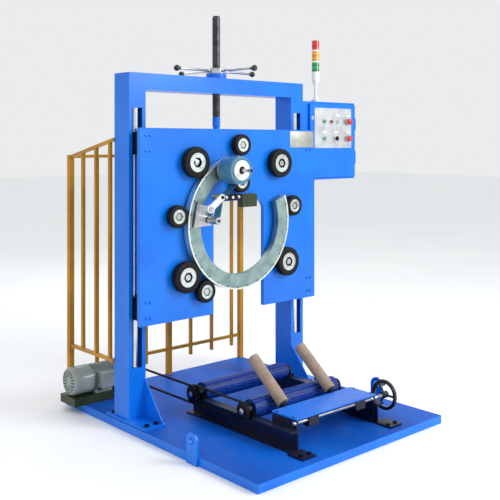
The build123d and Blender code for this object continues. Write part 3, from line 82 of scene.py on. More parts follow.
# Lamps: name, place, height they are aimed at and size in metres, and power in watts.
LAMPS = (("key", (2.4, -4.8, 3.6), 0.9, 2.6, 220),
         ("fill", (-5.2, -1.8, 2.8), 0.9, 3.5, 6),
         ("back", (0.5, 4.5, 4.5), 1.2, 3.0, 60))
SKY_COLOUR = (0.97, 0.985, 1.0, 1.0)
SKY_STRENGTH = 0.85
FLOOR_SIZE = 60.0
FLOOR_DROP = 0.0005
CAMERA_PLACE = (-3.045, -3.406, 1.509)
CAMERA_TURN = math.radians(-42)
CAMERA_SENSOR = 36.0
CAMERA_LENS = 58.9
CAMERA_SHIFT = -0.214


# ------------------------------------------------------------------ colours and nodes


def linear(text):
    """An sRGB hex colour as linear red, green and blue."""
    values = [int(text[i:i + 2], 16) / 255 for i in (1, 3, 5)]
    return tuple(v / 12.92 if v <= 0.04045 else ((v + 0.055) / 1.055) ** 2.4 for v in values)


def rgba(colour):
    return (*tuple(colour)[:3], 1.0)


def add(tree, kind, inputs=None, **attributes):
    """Adds one node, with its settings, and links or sets its inputs."""
    item = tree.nodes.new(kind)
    for name, value in attributes.items():
        setattr(item, name, value)
    for name, value in (inputs or {}).items():
        if isinstance(value, bpy.types.NodeSocket):
            tree.links.new(value, item.inputs[name])
        else:
            item.inputs[name].default_value = value
    return item


def new_material(name):
    """An empty material with its shader and the piece's own coordinates."""
    material = bpy.data.materials.new(name)
    material.use_nodes = True
    tree = material.node_tree
    shader = tree.nodes["Principled BSDF"]
    place = add(tree, "ShaderNodeTexCoord").outputs["Object"]
    return material, tree, shader, place


def per_metre(size_mm):
    """A noise scale whose features are about this many millimetres across."""
    return 1000.0 / size_mm


def ramp(tree, factor, low, high):
    """A factor stretched so that it runs from 0 at low to 1 at high."""
    inputs = {"Value": factor, "From Min": low, "From Max": high}
    return add(tree, "ShaderNodeMapRange", inputs, clamp=True).outputs["Result"]


def roughen(tree, shader, height, depth_mm):
    bump = add(tree, "ShaderNodeBump", {"Height": height, "Distance": depth_mm * MM,
                                        "Strength": BUMP_STRENGTH})
    tree.links.new(bump.outputs["Normal"], shader.inputs["Normal"])


def enamel(name, colour, deep, worn, roughness, coat, streak=(1.0, 1.0, 1.0), shine=0.3):
    """Sprayed enamel on steel: glossy, slightly uneven in tone, with orange peel, dust and small chips."""
    material, tree, shader, place = new_material(name)
    # Tone drifts over a hand's breadth, as spray passes overlap, or in long streaks where it was wiped.
    passes = add(tree, "ShaderNodeMapping", {"Vector": place, "Scale": streak})
    drift = add(tree, "ShaderNodeTexNoise", {
        "Vector": passes.outputs["Vector"], "Scale": per_metre(240), "Detail": 3.0})
    tone = add(tree, "ShaderNodeMixRGB", {
        "Fac": ramp(tree, drift.outputs["Fac"], 0.35, 0.7), "Color1": rgba(colour), "Color2": rgba(deep)})
    # Chips are drawn about 9 mm across, coarser than real ones, so that they show.
    chips = add(tree, "ShaderNodeTexNoise", {"Vector": place, "Scale": per_metre(22), "Detail": 5.0})
    chipped = ramp(tree, chips.outputs["Fac"], 0.735, 0.75)
    skin = add(tree, "ShaderNodeMixRGB", {
        "Fac": chipped, "Color1": tone.outputs["Color"], "Color2": rgba(worn)})
    # Dust settles on faces that look up.
    normal = add(tree, "ShaderNodeNewGeometry").outputs["Normal"]
    up = add(tree, "ShaderNodeSeparateXYZ", {"Vector": normal}).outputs["Z"]
    patches = add(tree, "ShaderNodeTexNoise", {"Vector": place, "Scale": per_metre(130), "Detail": 6.0})
    dust = add(tree, "ShaderNodeMath", {0: ramp(tree, up, 0.5, 1.0), 1: ramp(
        tree, patches.outputs["Fac"], 0.4, 0.8)}, operation="MULTIPLY").outputs["Value"]
    dusty = add(tree, "ShaderNodeMath", {0: dust, 1: DUST_AMOUNT}, operation="MULTIPLY").outputs["Value"]
    dusted = add(tree, "ShaderNodeMixRGB", {
        "Fac": dusty, "Color1": skin.outputs["Color"], "Color2": rgba(linear("#B9C0C8"))})
    tree.links.new(dusted.outputs["Color"], shader.inputs["Base Color"])
    gloss = add(tree, "ShaderNodeMath", {0: dust, 1: 0.16}, operation="MULTIPLY_ADD")
    gloss.inputs[2].default_value = roughness
    tree.links.new(gloss.outputs["Value"], shader.inputs["Roughness"])
    # Orange peel is 3 to 4 mm across.
    peel = add(tree, "ShaderNodeTexNoise", {"Vector": place, "Scale": per_metre(4), "Detail": 1.0})
    roughen(tree, shader, peel.outputs["Fac"], 0.05)
    shader.inputs["Coat Weight"].default_value = coat
    shader.inputs["Coat Roughness"].default_value = 0.12
    shader.inputs["IOR"].default_value = 1.5
    shader.inputs["Specular IOR Level"].default_value = shine
    return material


def metal(name, colour, dark, roughness, grain_mm, stretch):
    """Bare machined metal: the tool's fine marks run one way and handling leaves duller patches."""
    material, tree, shader, place = new_material(name)
    lined = add(tree, "ShaderNodeMapping", {"Vector": place, "Scale": stretch})
    grain = add(tree, "ShaderNodeTexNoise", {
        "Vector": lined.outputs["Vector"], "Scale": per_metre(grain_mm), "Detail": 4.0})
    smear = add(tree, "ShaderNodeTexNoise", {"Vector": place, "Scale": per_metre(60), "Detail": 4.0})
    tone = add(tree, "ShaderNodeMixRGB", {
        "Fac": ramp(tree, smear.outputs["Fac"], 0.4, 0.75), "Color1": rgba(colour), "Color2": rgba(dark)})
    tree.links.new(tone.outputs["Color"], shader.inputs["Base Color"])
    dull = add(tree, "ShaderNodeMath", {0: grain.outputs["Fac"], 1: 0.22}, operation="MULTIPLY_ADD")
    dull.inputs[2].default_value = roughness
    tree.links.new(dull.outputs["Value"], shader.inputs["Roughness"])
    roughen(tree, shader, grain.outputs["Fac"], 0.03)
    shader.inputs["Metallic"].default_value = 1.0
    return material


def pale_rim(material, colour, centre, radius_mm):
    """A machined band outside this radius, paler than the rest of the face."""
    tree = material.node_tree
    shader = tree.nodes["Principled BSDF"]
    place = add(tree, "ShaderNodeTexCoord").outputs["Object"]
    flat = add(tree, "ShaderNodeMapping", {
        "Vector": place, "Location": (-centre.x, 0.0, -centre.z), "Scale": (1.0, 0.0, 1.0)})
    reach = add(tree, "ShaderNodeVectorMath", {0: flat.outputs["Vector"]}, operation="LENGTH")
    band = ramp(tree, reach.outputs["Value"], (radius_mm - 0.4) * MM, (radius_mm + 0.4) * MM)
    tone = add(tree, "ShaderNodeMixRGB", {
        "Fac": band, "Color1": shader.inputs["Base Color"].links[0].from_socket, "Color2": rgba(colour)})
    tree.links.new(tone.outputs["Color"], shader.inputs["Base Color"])
    return material


def moulded(name, colour, faded_and_highlight, roughness, grain_mm, depth_mm, coat=0.0, shine=0.5):
    """Moulded plastic or rubber: one tone with a fine texture, paler where it is rubbed."""
    material, tree, shader, place = new_material(name)
    rub = add(tree, "ShaderNodeTexNoise", {"Vector": place, "Scale": per_metre(35), "Detail": 5.0})
    tone = add(tree, "ShaderNodeMixRGB", {
        "Fac": ramp(tree, rub.outputs["Fac"], 0.45, 0.8), "Color1": rgba(colour), "Color2": rgba(faded_and_highlight)})
    tree.links.new(tone.outputs["Color"], shader.inputs["Base Color"])
    shade = add(tree, "ShaderNodeMath", {0: rub.outputs["Fac"], 1: 0.2}, operation="MULTIPLY_ADD")
    shade.inputs[2].default_value = roughness
    tree.links.new(shade.outputs["Value"], shader.inputs["Roughness"])
    grain = add(tree, "ShaderNodeTexNoise", {"Vector": place, "Scale": per_metre(grain_mm), "Detail": 2.0})
    roughen(tree, shader, grain.outputs["Fac"], depth_mm)
    shader.inputs["IOR"].default_value = 1.49
    shader.inputs["Specular IOR Level"].default_value = shine
    shader.inputs["Coat Weight"].default_value = coat
    return material


def stretch_film(name, colour, edge, layers_along):
    """Wound stretch film: glossy and slightly see-through, with rings where its layers end."""
    material, tree, shader, place = new_material(name)
    wrinkle = add(tree, "ShaderNodeMapping", {"Vector": place, "Scale": layers_along})
    bands = add(tree, "ShaderNodeTexNoise", {
        "Vector": wrinkle.outputs["Vector"], "Scale": per_metre(7), "Detail": 3.0})
    tone = add(tree, "ShaderNodeMixRGB", {
        "Fac": ramp(tree, bands.outputs["Fac"], 0.35, 0.65), "Color1": rgba(colour), "Color2": rgba(edge)})
    tree.links.new(tone.outputs["Color"], shader.inputs["Base Color"])
    roughen(tree, shader, bands.outputs["Fac"], 0.2)
    shader.inputs["Roughness"].default_value = 0.22
    shader.inputs["IOR"].default_value = 1.5
    shader.inputs["Coat Weight"].default_value = 0.5
    shader.inputs["Coat Roughness"].default_value = 0.1
    return material


def lens_plastic(name, colour, glow):
    """Coloured acrylic lens: clear gloss over a deep tone with fine moulded prisms inside."""
    material, tree, shader, place = new_material(name)
    flat = add(tree, "ShaderNodeMapping", {"Vector": place, "Scale": (0.0, 0.0, 1.0)})
    # Prism rings stand 5 mm apart.
    rings = add(tree, "ShaderNodeTexWave", {
        "Vector": flat.outputs["Vector"], "Scale": per_metre(5) / 20, "Distortion": 0.0},
        wave_type="BANDS", bands_direction="Z")
    tone = add(tree, "ShaderNodeMixRGB", {
        "Fac": rings.outputs["Fac"], "Color1": rgba(colour), "Color2": rgba(glow)})
    tree.links.new(tone.outputs["Color"], shader.inputs["Base Color"])
    shader.inputs["Roughness"].default_value = 0.12
    shader.inputs["IOR"].default_value = 1.49
    shader.inputs["Transmission Weight"].default_value = 0.25
    shader.inputs["Coat Weight"].default_value = 0.6
    return material


def knurled_sleeve(name, colour, faded_and_highlight):
    """Textured polyurethane sleeve: rows of small raised dots that grip the coil, the dots painted paler as
    painted highlights.
    """
    material, tree, shader, place = new_material(name)
    # Dots stand 14 mm apart.
    dots = add(tree, "ShaderNodeTexVoronoi", {
        "Vector": place, "Scale": per_metre(14), "Randomness": 0.3}, feature="F1")
    # The raised dots take the paler blue: painted highlights where each dot catches the light.
    raised = ramp(tree, dots.outputs["Distance"], 0.45, 0.2)
    tone = add(tree, "ShaderNodeMixRGB", {"Fac": raised, "Color1": rgba(colour), "Color2": rgba(faded_and_highlight)})
    tree.links.new(tone.outputs["Color"], shader.inputs["Base Color"])
    roughen(tree, shader, raised, 1.6)
    shader.inputs["Roughness"].default_value = 0.36
    shader.inputs["Specular IOR Level"].default_value = 0.3
    return material


def painted_floor(name):
    """Pale sealed floor: even, with a faint trowelled mottle."""
    material, tree, shader, place = new_material(name)
    mottle = add(tree, "ShaderNodeTexNoise", {"Vector": place, "Scale": per_metre(900), "Detail": 3.0})
    tone = add(tree, "ShaderNodeMixRGB", {
        "Fac": mottle.outputs["Fac"], "Color1": rgba(linear("#FAFBFB")), "Color2": rgba(linear("#F3F4F5"))})
    tree.links.new(tone.outputs["Color"], shader.inputs["Base Color"])
    shader.inputs["Roughness"].default_value = 0.85
    return material


FINISHES = {}


def mix_finishes(colours):
    """Makes every finish once, from the colours that a user can change."""
    even = (1.0, 1.0, 1.0)
    worn = linear("#6F93D0")
    ring = joint_place("ring_spin")
    FINISHES.update({
        "blue_enamel": enamel("blue_enamel", colours.machine_blue, linear("#046ADA"), worn, 0.3, 0.15),
        # The deck's top faces get a darker copy of the blue enamel as painted shade: the shadow and
        # reflection of the machine standing over it.
        "deck_shade_enamel": enamel("deck_shade_enamel", linear("#0562CE"), linear("#034EAE"), worn, 0.4, 0.0,
                              (0.9, 0.12, 1.0), 0.12),
        # The navy is darkened nearly to black: dark blue enamel with painted shade in it.
        "navy_and_shade_enamel": enamel("navy_and_shade_enamel", colours.bed_navy_and_shade, linear("#050B22"), linear("#2C3E66"),
                              0.3, 0.1),
        "ochre_enamel": enamel("ochre_enamel", colours.fence_ochre, linear("#A06C04"),
                               linear("#6E4A16"), 0.4, 0.1),
        "grey_enamel": enamel("grey_enamel", linear("#9AA39E"), linear("#7C8681"), linear("#565B58"),
                              0.34, 0.35),
        "olive_enamel": enamel("olive_enamel", linear("#2C3A1C"), linear("#1E2914"), linear("#5A6350"),
                               0.4, 0.2),
        "white_enamel": enamel("white_enamel", linear("#E2E6E4"), linear("#C6CCC9"), linear("#8B8F8D"),
                               0.35, 0.3),
        "black_oxide_steel": metal("black_oxide_steel", linear("#2E2F34"), linear("#16171A"), 0.32, 3, even),
        "screw_steel": metal("screw_steel", linear("#56575C"), linear("#303136"), 0.22, 2, even),
        "turned_steel": metal("turned_steel", linear("#C9CBCD"), linear("#9EA1A4"), 0.18, 2, even),
        "chromed_steel": metal("chromed_steel", linear("#DADDE0"), linear("#BFC4C9"), 0.06, 6, even),
        "cast_aluminium": metal("cast_aluminium", linear("#D3DCD8"), linear("#B4C0BB"), 0.26, 5, even),
        "ring_aluminium": pale_rim(metal("ring_aluminium", linear("#93A9A6"), linear("#71888A"),
                                         0.36, 5, even),
                                   linear("#DDE2D6"), ring, RIM_START_MM),
        "brushed_aluminium": metal("brushed_aluminium", linear("#D4D7DA"), linear("#B6BABF"), 0.28, 2,
                                   (0.06, 1.0, 1.0)),
        "dull_aluminium": metal("dull_aluminium", linear("#B4B6AE"), linear("#94978F"), 0.42, 4, even),
        "tyre_rubber": moulded("tyre_rubber", linear("#0E0D0E"), linear("#1D1B1C"), 0.55, 3, 0.15, 0.0, 0.25),
        "beige_sleeve": moulded("beige_sleeve", linear("#A38F7E"), linear("#8D7A6A"), 0.5, 4, 0.12, 0.0, 0.3),
        "black_phenolic": moulded("black_phenolic", linear("#111214"), linear("#2A2B2E"), 0.22, 5, 0.03, 0.4),
        "white_abs": moulded("white_abs", linear("#E8E8E2"), linear("#D2D3CD"), 0.34, 5, 0.03, 0.2),
        "green_abs": moulded("green_abs", linear("#0E8A3A"), linear("#3FA968"), 0.25, 5, 0.03, 0.4),
        "red_abs": moulded("red_abs", linear("#C4141A"), linear("#D9474A"), 0.25, 5, 0.03, 0.4),
        "grey_core": moulded("grey_core", linear("#8C8478"), linear("#A59C8E"), 0.7, 3, 0.1),
        "wound_film": stretch_film("wound_film", linear("#2A6688"), linear("#5C90AC"), (1.0, 12.0, 1.0)),
        "film_web": stretch_film("film_web", linear("#2A6A92"), linear("#5C97B8"), (1.0, 8.0, 1.0)),
        "red_lens": lens_plastic("red_lens", linear("#C01016"), linear("#F03A34")),
        "amber_lens": lens_plastic("amber_lens", linear("#D98A00"), linear("#FFC21F")),
        "green_lens": lens_plastic("green_lens", linear("#067A3C"), linear("#22B564")),
        "dark_red_lens": lens_plastic("dark_red_lens", linear("#7A0E12"), linear("#A82A2A")),
        "dotted_sleeve": knurled_sleeve("dotted_sleeve", linear("#06246E"), linear("#1450C0")),
        "floor": painted_floor("floor"),
    })


NODE_FINISH = {
    "blue_enamel": ("base_plate", "left_column", "right_column", "top_beam", "ring_panel", "screw_bracket",
                    "nut_housing", "slide_bridge", "control_box", "box_door"),
    "navy_and_shade_enamel": ("bed_rails", "slide_block_left", "slide_block_right"),
    "ochre_enamel": ("fence",),
    "grey_enamel": ("ring_gearmotor", "gear_reducer"),
    "olive_enamel": ("guide_arm", "motor_bracket"),
    "white_enamel": ("tension_lever",),
    "black_oxide_steel": ("slide_bearings", "roller_bearings", "anchor_bolts"),
    "turned_steel": ("capstan_hub", "wheel_axles", "film_spindle", "roller_bracket",
                     "lever_roller", "fixed_roller"),
    "chromed_steel": ("guide_rods",),
    "ring_aluminium": ("wrap_ring",),
    "brushed_aluminium": ("instrument_plate",),
    "beige_sleeve": ("guide_roller_left", "guide_roller_right"),
    "black_phenolic": ("handwheel", "lower_selector"),
    "white_abs": ("film_hub", "signal_tower", "upper_selector"),
    "green_abs": ("start_button",),
    "red_abs": ("upper_stop_button", "lower_stop_button"),
}


# ------------------------------------------------------------------ modelling by hand


def deselect():
    if bpy.context.mode != "OBJECT":
        bpy.ops.object.mode_set(mode="OBJECT")
    bpy.ops.object.select_all(action="DESELECT")


def pick(piece):
    deselect()
    piece.select_set(True)
    bpy.context.view_layer.objects.active = piece
    return piece


def bake_place(piece):
    pick(piece)
    bpy.ops.object.transform_apply(location=True, rotation=True, scale=True)
    return piece


def apply_modifiers(piece):
    pick(piece)
    for modifier in list(piece.modifiers):
        bpy.ops.object.modifier_apply(modifier=modifier.name)
    return piece


def soften(piece, width_mm, segments=2):
    """Rounds the sharp edges and shades the rest smooth."""
    if width_mm > 0:
        bevel = piece.modifiers.new("edge", "BEVEL")
        bevel.width = width_mm * MM
        bevel.segments = segments
        bevel.limit_method = "ANGLE"
        bevel.angle_limit = math.radians(35)
        apply_modifiers(piece)
    pick(piece)
    bpy.ops.object.shade_smooth_by_angle(angle=SMOOTH_ANGLE)
    return piece


def face_outwards(piece):
    pick(piece)
    bpy.ops.object.mode_set(mode="EDIT")
    bpy.ops.mesh.select_all(action="SELECT")
    bpy.ops.mesh.remove_doubles(threshold=0.00001)
    bpy.ops.mesh.normals_make_consistent(inside=False)
    bpy.ops.object.mode_set(mode="OBJECT")
    return piece


def cuboid(low, high, edge_mm=1.0):
    """A box between two corners with rounded edges."""
    low, high = Vector(low), Vector(high)
    deselect()
    bpy.ops.mesh.primitive_cube_add(size=1.0, location=(low + high) / 2)
    piece = bpy.context.active_object
    piece.scale = high - low
    bake_place(piece)
    return soften(piece, edge_mm)


def bar(radius, start, end, edge_mm=0.8, sides=48):
    """A round bar between two points, or a prism when it has few sides."""
    start, end = Vector(start), Vector(end)
    run = end - start
    deselect()
    bpy.ops.mesh.primitive_cylinder_add(
        vertices=sides, radius=radius, depth=run.length, location=(start + end) / 2,
        rotation=run.to_track_quat("Z", "Y").to_euler())
    return soften(bake_place(bpy.context.active_object), edge_mm)


def turned(profile, foot, axis, sides=72, edge_mm=0.0):
    """A lathe-turned piece. The profile's points are (radius, distance along the axis) in millimetres."""
    points = [Vector((radius * MM, 0, along * MM)) for radius, along in profile]
    outline = bpy.data.meshes.new("outline")
    closed = profile[0][0] > 0
    count = len(points)
    edges = [(i, (i + 1) % count) for i in range(count if closed else count - 1)]
    outline.from_pydata(points, edges, [])
    piece = bpy.data.objects.new("turned", outline)
    bpy.context.collection.objects.link(piece)
    spin = piece.modifiers.new("spin", "SCREW")
    spin.steps = sides
    spin.render_steps = sides
    spin.use_merge_vertices = True
    spin.merge_threshold = 0.00001
    apply_modifiers(piece)
    face_outwards(piece)
    piece.rotation_euler = Vector(axis).to_track_quat("Z", "Y").to_euler()
    piece.location = foot
    return soften(bake_place(piece), edge_mm)


def screw_thread(crest_mm, depth_mm, pitch_mm, foot, axis, length_mm, sides=28):
    """A trapezoidal thread on its core, with both ends closed."""
    root = crest_mm - depth_mm
    flank = pitch_mm * 0.14
    flat = pitch_mm * 0.36
    ridge = [(root - 0.5, 0), (root, 0), (crest_mm, flank), (crest_mm, flank + flat),
             (root, 2 * flank + flat), (root - 0.5, 2 * flank + flat)]
    outline = bpy.data.meshes.new("ridge")
    count = len(ridge)
    outline.from_pydata([Vector((r * MM, 0, z * MM)) for r, z in ridge],
                        [(i, (i + 1) % count) for i in range(count)], [])
    piece = bpy.data.objects.new("thread", outline)
    bpy.context.collection.objects.link(piece)
    sweep = piece.modifiers.new("sweep", "SCREW")
    sweep.steps = sides
    sweep.render_steps = sides
    sweep.screw_offset = pitch_mm * MM
    sweep.iterations = int((length_mm - pitch_mm) // pitch_mm)
    apply_modifiers(piece)
    bpy.ops.object.mode_set(mode="EDIT")
    bpy.ops.mesh.select_all(action="SELECT")
    bpy.ops.mesh.fill_holes(sides=0)
    bpy.ops.object.mode_set(mode="OBJECT")
    face_outwards(piece)
    piece.rotation_euler = Vector(axis).to_track_quat("Z", "Y").to_euler()
    piece.location = foot
    soften(bake_place(piece), 0)
    end = Vector(foot) + Vector(axis) * length_mm * MM
    core = bar(root * MM, foot, end, 1.5)
    return join([core, piece])


def join(pieces):
    """Several solids as one piece."""
    pick(pieces[0])
    for piece in pieces[1:]:
        piece.select_set(True)
    bpy.ops.object.join()
    return bpy.context.active_object


def turn_copy(piece, centre, axis, angle):
    """A copy with its own mesh, turned about an axis."""
    twin = piece.copy()
    twin.data = piece.data.copy()
    bpy.context.collection.objects.link(twin)
    about = Matrix.Translation(centre) @ Matrix.Rotation(angle, 4, axis) @ Matrix.Translation(-Vector(centre))
    twin.data.transform(about)
    return twin


def shift_copy(piece, offset):
    twin = piece.copy()
    twin.data = piece.data.copy()
    bpy.context.collection.objects.link(twin)
    twin.data.transform(Matrix.Translation(offset))
    return twin


def ring_of(piece, centre, axis, count):
    """The piece and its copies, evenly round an axis, as one."""
    return join([piece] + [turn_copy(piece, centre, axis, math.tau * i / count) for i in range(1, count)])


def hex_bolt(seat, axis, across_mm, tall_mm):
    """A hexagon head with a washer under it."""
    axis = Vector(axis)
    seat = Vector(seat)
    washer = bar(across_mm * 0.68 * MM, seat, seat + axis * 1.6 * MM, 0.3, 24)
    head = bar(across_mm * 0.577 * MM, seat + axis * 1.6 * MM, seat + axis * tall_mm * MM, 0.9, 6)
    return join([washer, head])


def finished(piece, name, finish, body, replaces=()):
    """Names a piece, gives it its finish and says what it rides on and stands for."""
    piece.name = name
    piece.data.name = name
    piece.data.materials.clear()
    piece.data.materials.append(FINISHES[finish])
    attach(piece, body)
    if replaces:
        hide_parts(*replaces)
    return piece


def middle(node):
    low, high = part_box(node)
    return (low + high) / 2


def joint_place(name):
    return Vector(JOINTS[name]["pos_m"])


def corners(low, high, inset):
    """The x and z of a plate's four corners, this far in from its edges."""
    return [(x, z) for x in (low.x + inset, high.x - inset) for z in (low.z + inset, high.z - inset)]


# ------------------------------------------------------------------ pieces


class WrapperColours(bpy.types.PropertyGroup):
    machine_blue: bpy.props.FloatVectorProperty(
        name="Machine blue", description="Enamel on the portal, panel and base", subtype="COLOR",
        default=linear("#0577E6"), min=0.0, max=1.0)
    # Dark blue enamel, darkened nearly to black with painted shade.
    bed_navy_and_shade: bpy.props.FloatVectorProperty(
        name="Bed navy", description="Enamel on the roller bed's rails", subtype="COLOR",
        default=linear("#0A1536"), min=0.0, max=1.0)
    fence_ochre: bpy.props.FloatVectorProperty(
        name="Fence ochre", description="Enamel on the safety fence", subtype="COLOR",
        default=linear("#C28A08"), min=0.0, max=1.0)


class WrapperSizes(bpy.types.PropertyGroup):
    screw_pitch: bpy.props.FloatProperty(
        name="Lead screw pitch", description="Rise of the lead screw's thread in one turn",
        default=0.008, unit="LENGTH")
    cross_pitch: bpy.props.FloatProperty(
        name="Cross screw pitch", description="Rise of the cross screw's thread in one turn",
        default=0.005, unit="LENGTH")
    motor_fins: bpy.props.IntProperty(
        name="Motor fins", description="Cooling fins round the roller motor", default=32, min=8, max=60)
    sprocket_teeth: bpy.props.IntProperty(
        name="Sprocket teeth", description="Teeth on every chain wheel", default=22, min=12, max=40)
    chain_radius: bpy.props.FloatProperty(
        name="Chain radius", description="Radius of the chain's pins round a chain wheel",
        default=0.0444, unit="LENGTH")


def second_finish(name, finish, chosen):
    """Gives another finish to the faces of a CAD node that a test picks."""
    mesh = frame["nodes"][name].data
    mesh.materials.append(FINISHES[finish])
    for face in mesh.polygons:
        if chosen(face):
            face.material_index = len(mesh.materials) - 1


class FinishNodes(bpy.types.Operator):
    """Gives every shown CAD node its own procedural finish."""

    bl_idname = "wrapper.finish_nodes"
    bl_label = "Finish the CAD nodes"

    def execute(self, context):
        mix_finishes(context.scene.wrapper_colours)
        for finish, names in NODE_FINISH.items():
            for name in names:
                node = frame["nodes"][name]
                node.data.materials.clear()
                node.data.materials.append(FINISHES[finish])
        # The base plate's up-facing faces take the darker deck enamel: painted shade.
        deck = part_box("left_column")[0].z
        second_finish("base_plate", "deck_shade_enamel",
                      lambda face: face.normal.z > 0.9 and face.center.z > deck - MM)
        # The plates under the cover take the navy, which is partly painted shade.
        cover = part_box("slide_bridge")[1].z - COVER_THICK
        second_finish("slide_bridge", "navy_and_shade_enamel", lambda face: face.center.z < cover - MM)
        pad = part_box("guide_arm")[0].x + GUIDE_ARM_LENGTH
        second_finish("guide_arm", "black_oxide_steel", lambda face: face.center.x < pad - MM)
        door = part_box("box_door")[0].y
        for name in DEVICES:
            second_finish(name, "black_phenolic", lambda face: face.center.y > door + MM)
        return {"FINISHED"}


class AddGuideWheels(bpy.types.Operator):
    """Adds rubber-tyred guide wheels with dished hubs."""

    bl_idname = "wrapper.guide_wheels"
    bl_label = "Add the guide wheels"

    def execute(self, context):
        ring_low, ring_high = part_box("wrap_ring")
        width = (ring_high.y - ring_low.y) / MM
        for name in BIG_WHEELS + SMALL_WHEELS:
            big = name in BIG_WHEELS
            low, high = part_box(name)
            radius = (high.x - low.x) / 2 / MM
            # Share of the radius that is hub, then the hub's bore and the width of its rim.
            share, bore, lip = (0.62, 24.4, 7) if big else (0.63, 18.5, 5)
            hub = radius * share
            foot = Vector(((low.x + high.x) / 2, ring_low.y, (low.z + high.z) / 2))
            crown = radius - 1.2
            tyre = turned([(hub, 0.6), (hub + 4, 0), (crown - 5, 0), (crown - 1.5, 1.5), (crown, 5),
                           (radius, 12), (radius, width - 12), (crown, width - 5), (crown - 1.5, width - 1.5),
                           (crown - 5, width), (hub, width)], foot, Y_AXIS, 96)
            disc = turned([(0, 14.5), (bore - 1, 14.5), (bore, 13.5), (bore, 3), (bore + 1, 2),
                           (hub - lip - 3, 2), (hub - lip - 2, 3.2), (hub - lip, 3.2), (hub - lip + 1, 0.8),
                           (hub - 1, 0.8), (hub, 2), (hub, width), (0, width)], foot, Y_AXIS, 96)
            # A black cup lining the hub's recess: painted shade in the centre hole.
            shade_cup = turned([(0, 13.8), (bore - 1, 13.8), (bore - 1, 1.4), (bore + 2.5, 1.4), (bore + 2.5, 2.6),
                          (bore - 0.4, 2.6), (bore - 0.4, 14.4), (0, 14.4)], foot, Y_AXIS, 72)
            seat = foot + Vector((bore * MM + 0.0065, 0.002, 0))
            screws = ring_of(bar(0.0022, seat - Y_AXIS * 0.0012, seat + Y_AXIS * 0.001, 0.3, 12),
                             foot, Y_AXIS, 6)
            parts = [disc]
            if name == "big_wheel_1":
                shaft_end = Vector((foot.x, high.y, foot.z))
                parts.append(bar(0.01, foot + Y_AXIS * 0.03, shaft_end, 1.0))
                parts.append(hex_bolt(foot + Y_AXIS * 0.0145, -Y_AXIS, 26, 10))
            finished(tyre, name + "_tyre", "tyre_rubber", name, [name])
            finished(join(parts), name + "_hub", "cast_aluminium", name)
            finished(shade_cup, name + "_cup", "black_oxide_steel", name)
            finished(screws, name + "_screws", "black_oxide_steel", name)
        return {"FINISHED"}


class AddLeadScrew(bpy.types.Operator):
    """Adds the threaded lead screw with its collar and lock nut."""

    bl_idname = "wrapper.lead_screw"
    bl_label = "Add the lead screw"

    def execute(self, context):
        low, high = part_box("lead_screw")
        centre = middle("lead_screw")
        panel_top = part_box("ring_panel")[1].z
        boss_above_panel = 0.072
        thread_foot = panel_top + boss_above_panel
        axis_point = Vector((centre.x, centre.y, 0))
        pitch = context.scene.wrapper_sizes.screw_pitch / MM
        length = (high.z - thread_foot) / MM
        crest, depth = 24.0, 3.4
        thread = screw_thread(crest, depth, pitch, axis_point + Z_AXIS * thread_foot, Z_AXIS, length)
        finished(thread, "lead_screw_thread", "screw_steel", "carriage", ["lead_screw"])
        bracket_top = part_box("screw_bracket")[1].z
        foot = axis_point + Z_AXIS * bracket_top
        boss_tall = (thread_foot - bracket_top) / MM
        collar = turned([(0, 0), (30, 0), (30, 12), (28, 14), (21, 14), (20, 16), (20, 58), (23, 62),
                         (23, boss_tall), (0, boss_tall)], foot, Z_AXIS, 64)
        finished(collar, "lead_screw_boss", "blue_enamel", "carriage")
        shank = bar(0.02, axis_point + Z_AXIS * (low.z + 0.01), foot, 0.5)
        nut = bar(0.032, axis_point + Z_AXIS * low.z, axis_point + Z_AXIS * (low.z + 0.018), 1.5, 6)
        finished(join([shank, nut]), "lead_screw_nut", "turned_steel", "carriage")
        return {"FINISHED"}


class AddCapstan(bpy.types.Operator):
    """Adds the capstan's steel arms, ball knobs and hub bolts."""

    bl_idname = "wrapper.capstan"
    bl_label = "Add the capstan arms"

    def execute(self, context):
        hub_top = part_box("capstan_hub")[1].z
        centre = joint_place("capstan_turn")
        centre.z = middle("capstan_hub").z
        reach = 0.305
        rest = math.radians(4.5)
        ball_r = 0.0175
        start = Vector((math.cos(rest), math.sin(rest), 0))
        stem = bar(0.007, centre + start * 0.04, centre + start * (reach - ball_r * 0.8), 0.5, 24)
        collar = bar(0.0105, centre + start * 0.053, centre + start * 0.066, 1.0, 24)
        arms = ring_of(join([stem, collar]), centre, Z_AXIS, 4)
        finished(arms, "capstan_stems", "turned_steel", "capstan", ["capstan_arms"])
        round_mm = ball_r / MM
        arc = [(round_mm * math.cos(math.radians(a)), round_mm * math.sin(math.radians(a)))
               for a in range(-75, 90, 15)]
        ball = turned([(0, -round_mm)] + arc + [(0, round_mm)], centre + start * reach, start, 40)
        ferrule = bar(0.0095, centre + start * (reach - 0.0245), centre + start * (reach - 0.012), 0.6, 24)
        balls = ring_of(join([ball, ferrule]), centre, Z_AXIS, 4)
        finished(balls, "capstan_balls", "black_phenolic", "capstan")
        hub_bolt_circle, housing_bolt_circle = 0.041, 0.05
        cap_seat = Vector((centre.x + hub_bolt_circle, centre.y, hub_top))
        bolts = ring_of(bar(0.0045, cap_seat - Z_AXIS * 0.002, cap_seat + Z_AXIS * 0.0025, 0.5, 6),
                        centre, Z_AXIS, 6)
        finished(bolts, "capstan_bolts", "black_oxide_steel", "capstan")
        flange_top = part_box("nut_housing")[1].z
        seat = Vector((centre.x + housing_bolt_circle, centre.y, flange_top - 0.0035))
        ears = ring_of(hex_bolt(seat, Z_AXIS, 11, 3.4), centre, Z_AXIS, 8)
        finished(ears, "housing_bolts", "turned_steel", "base")
        return {"FINISHED"}


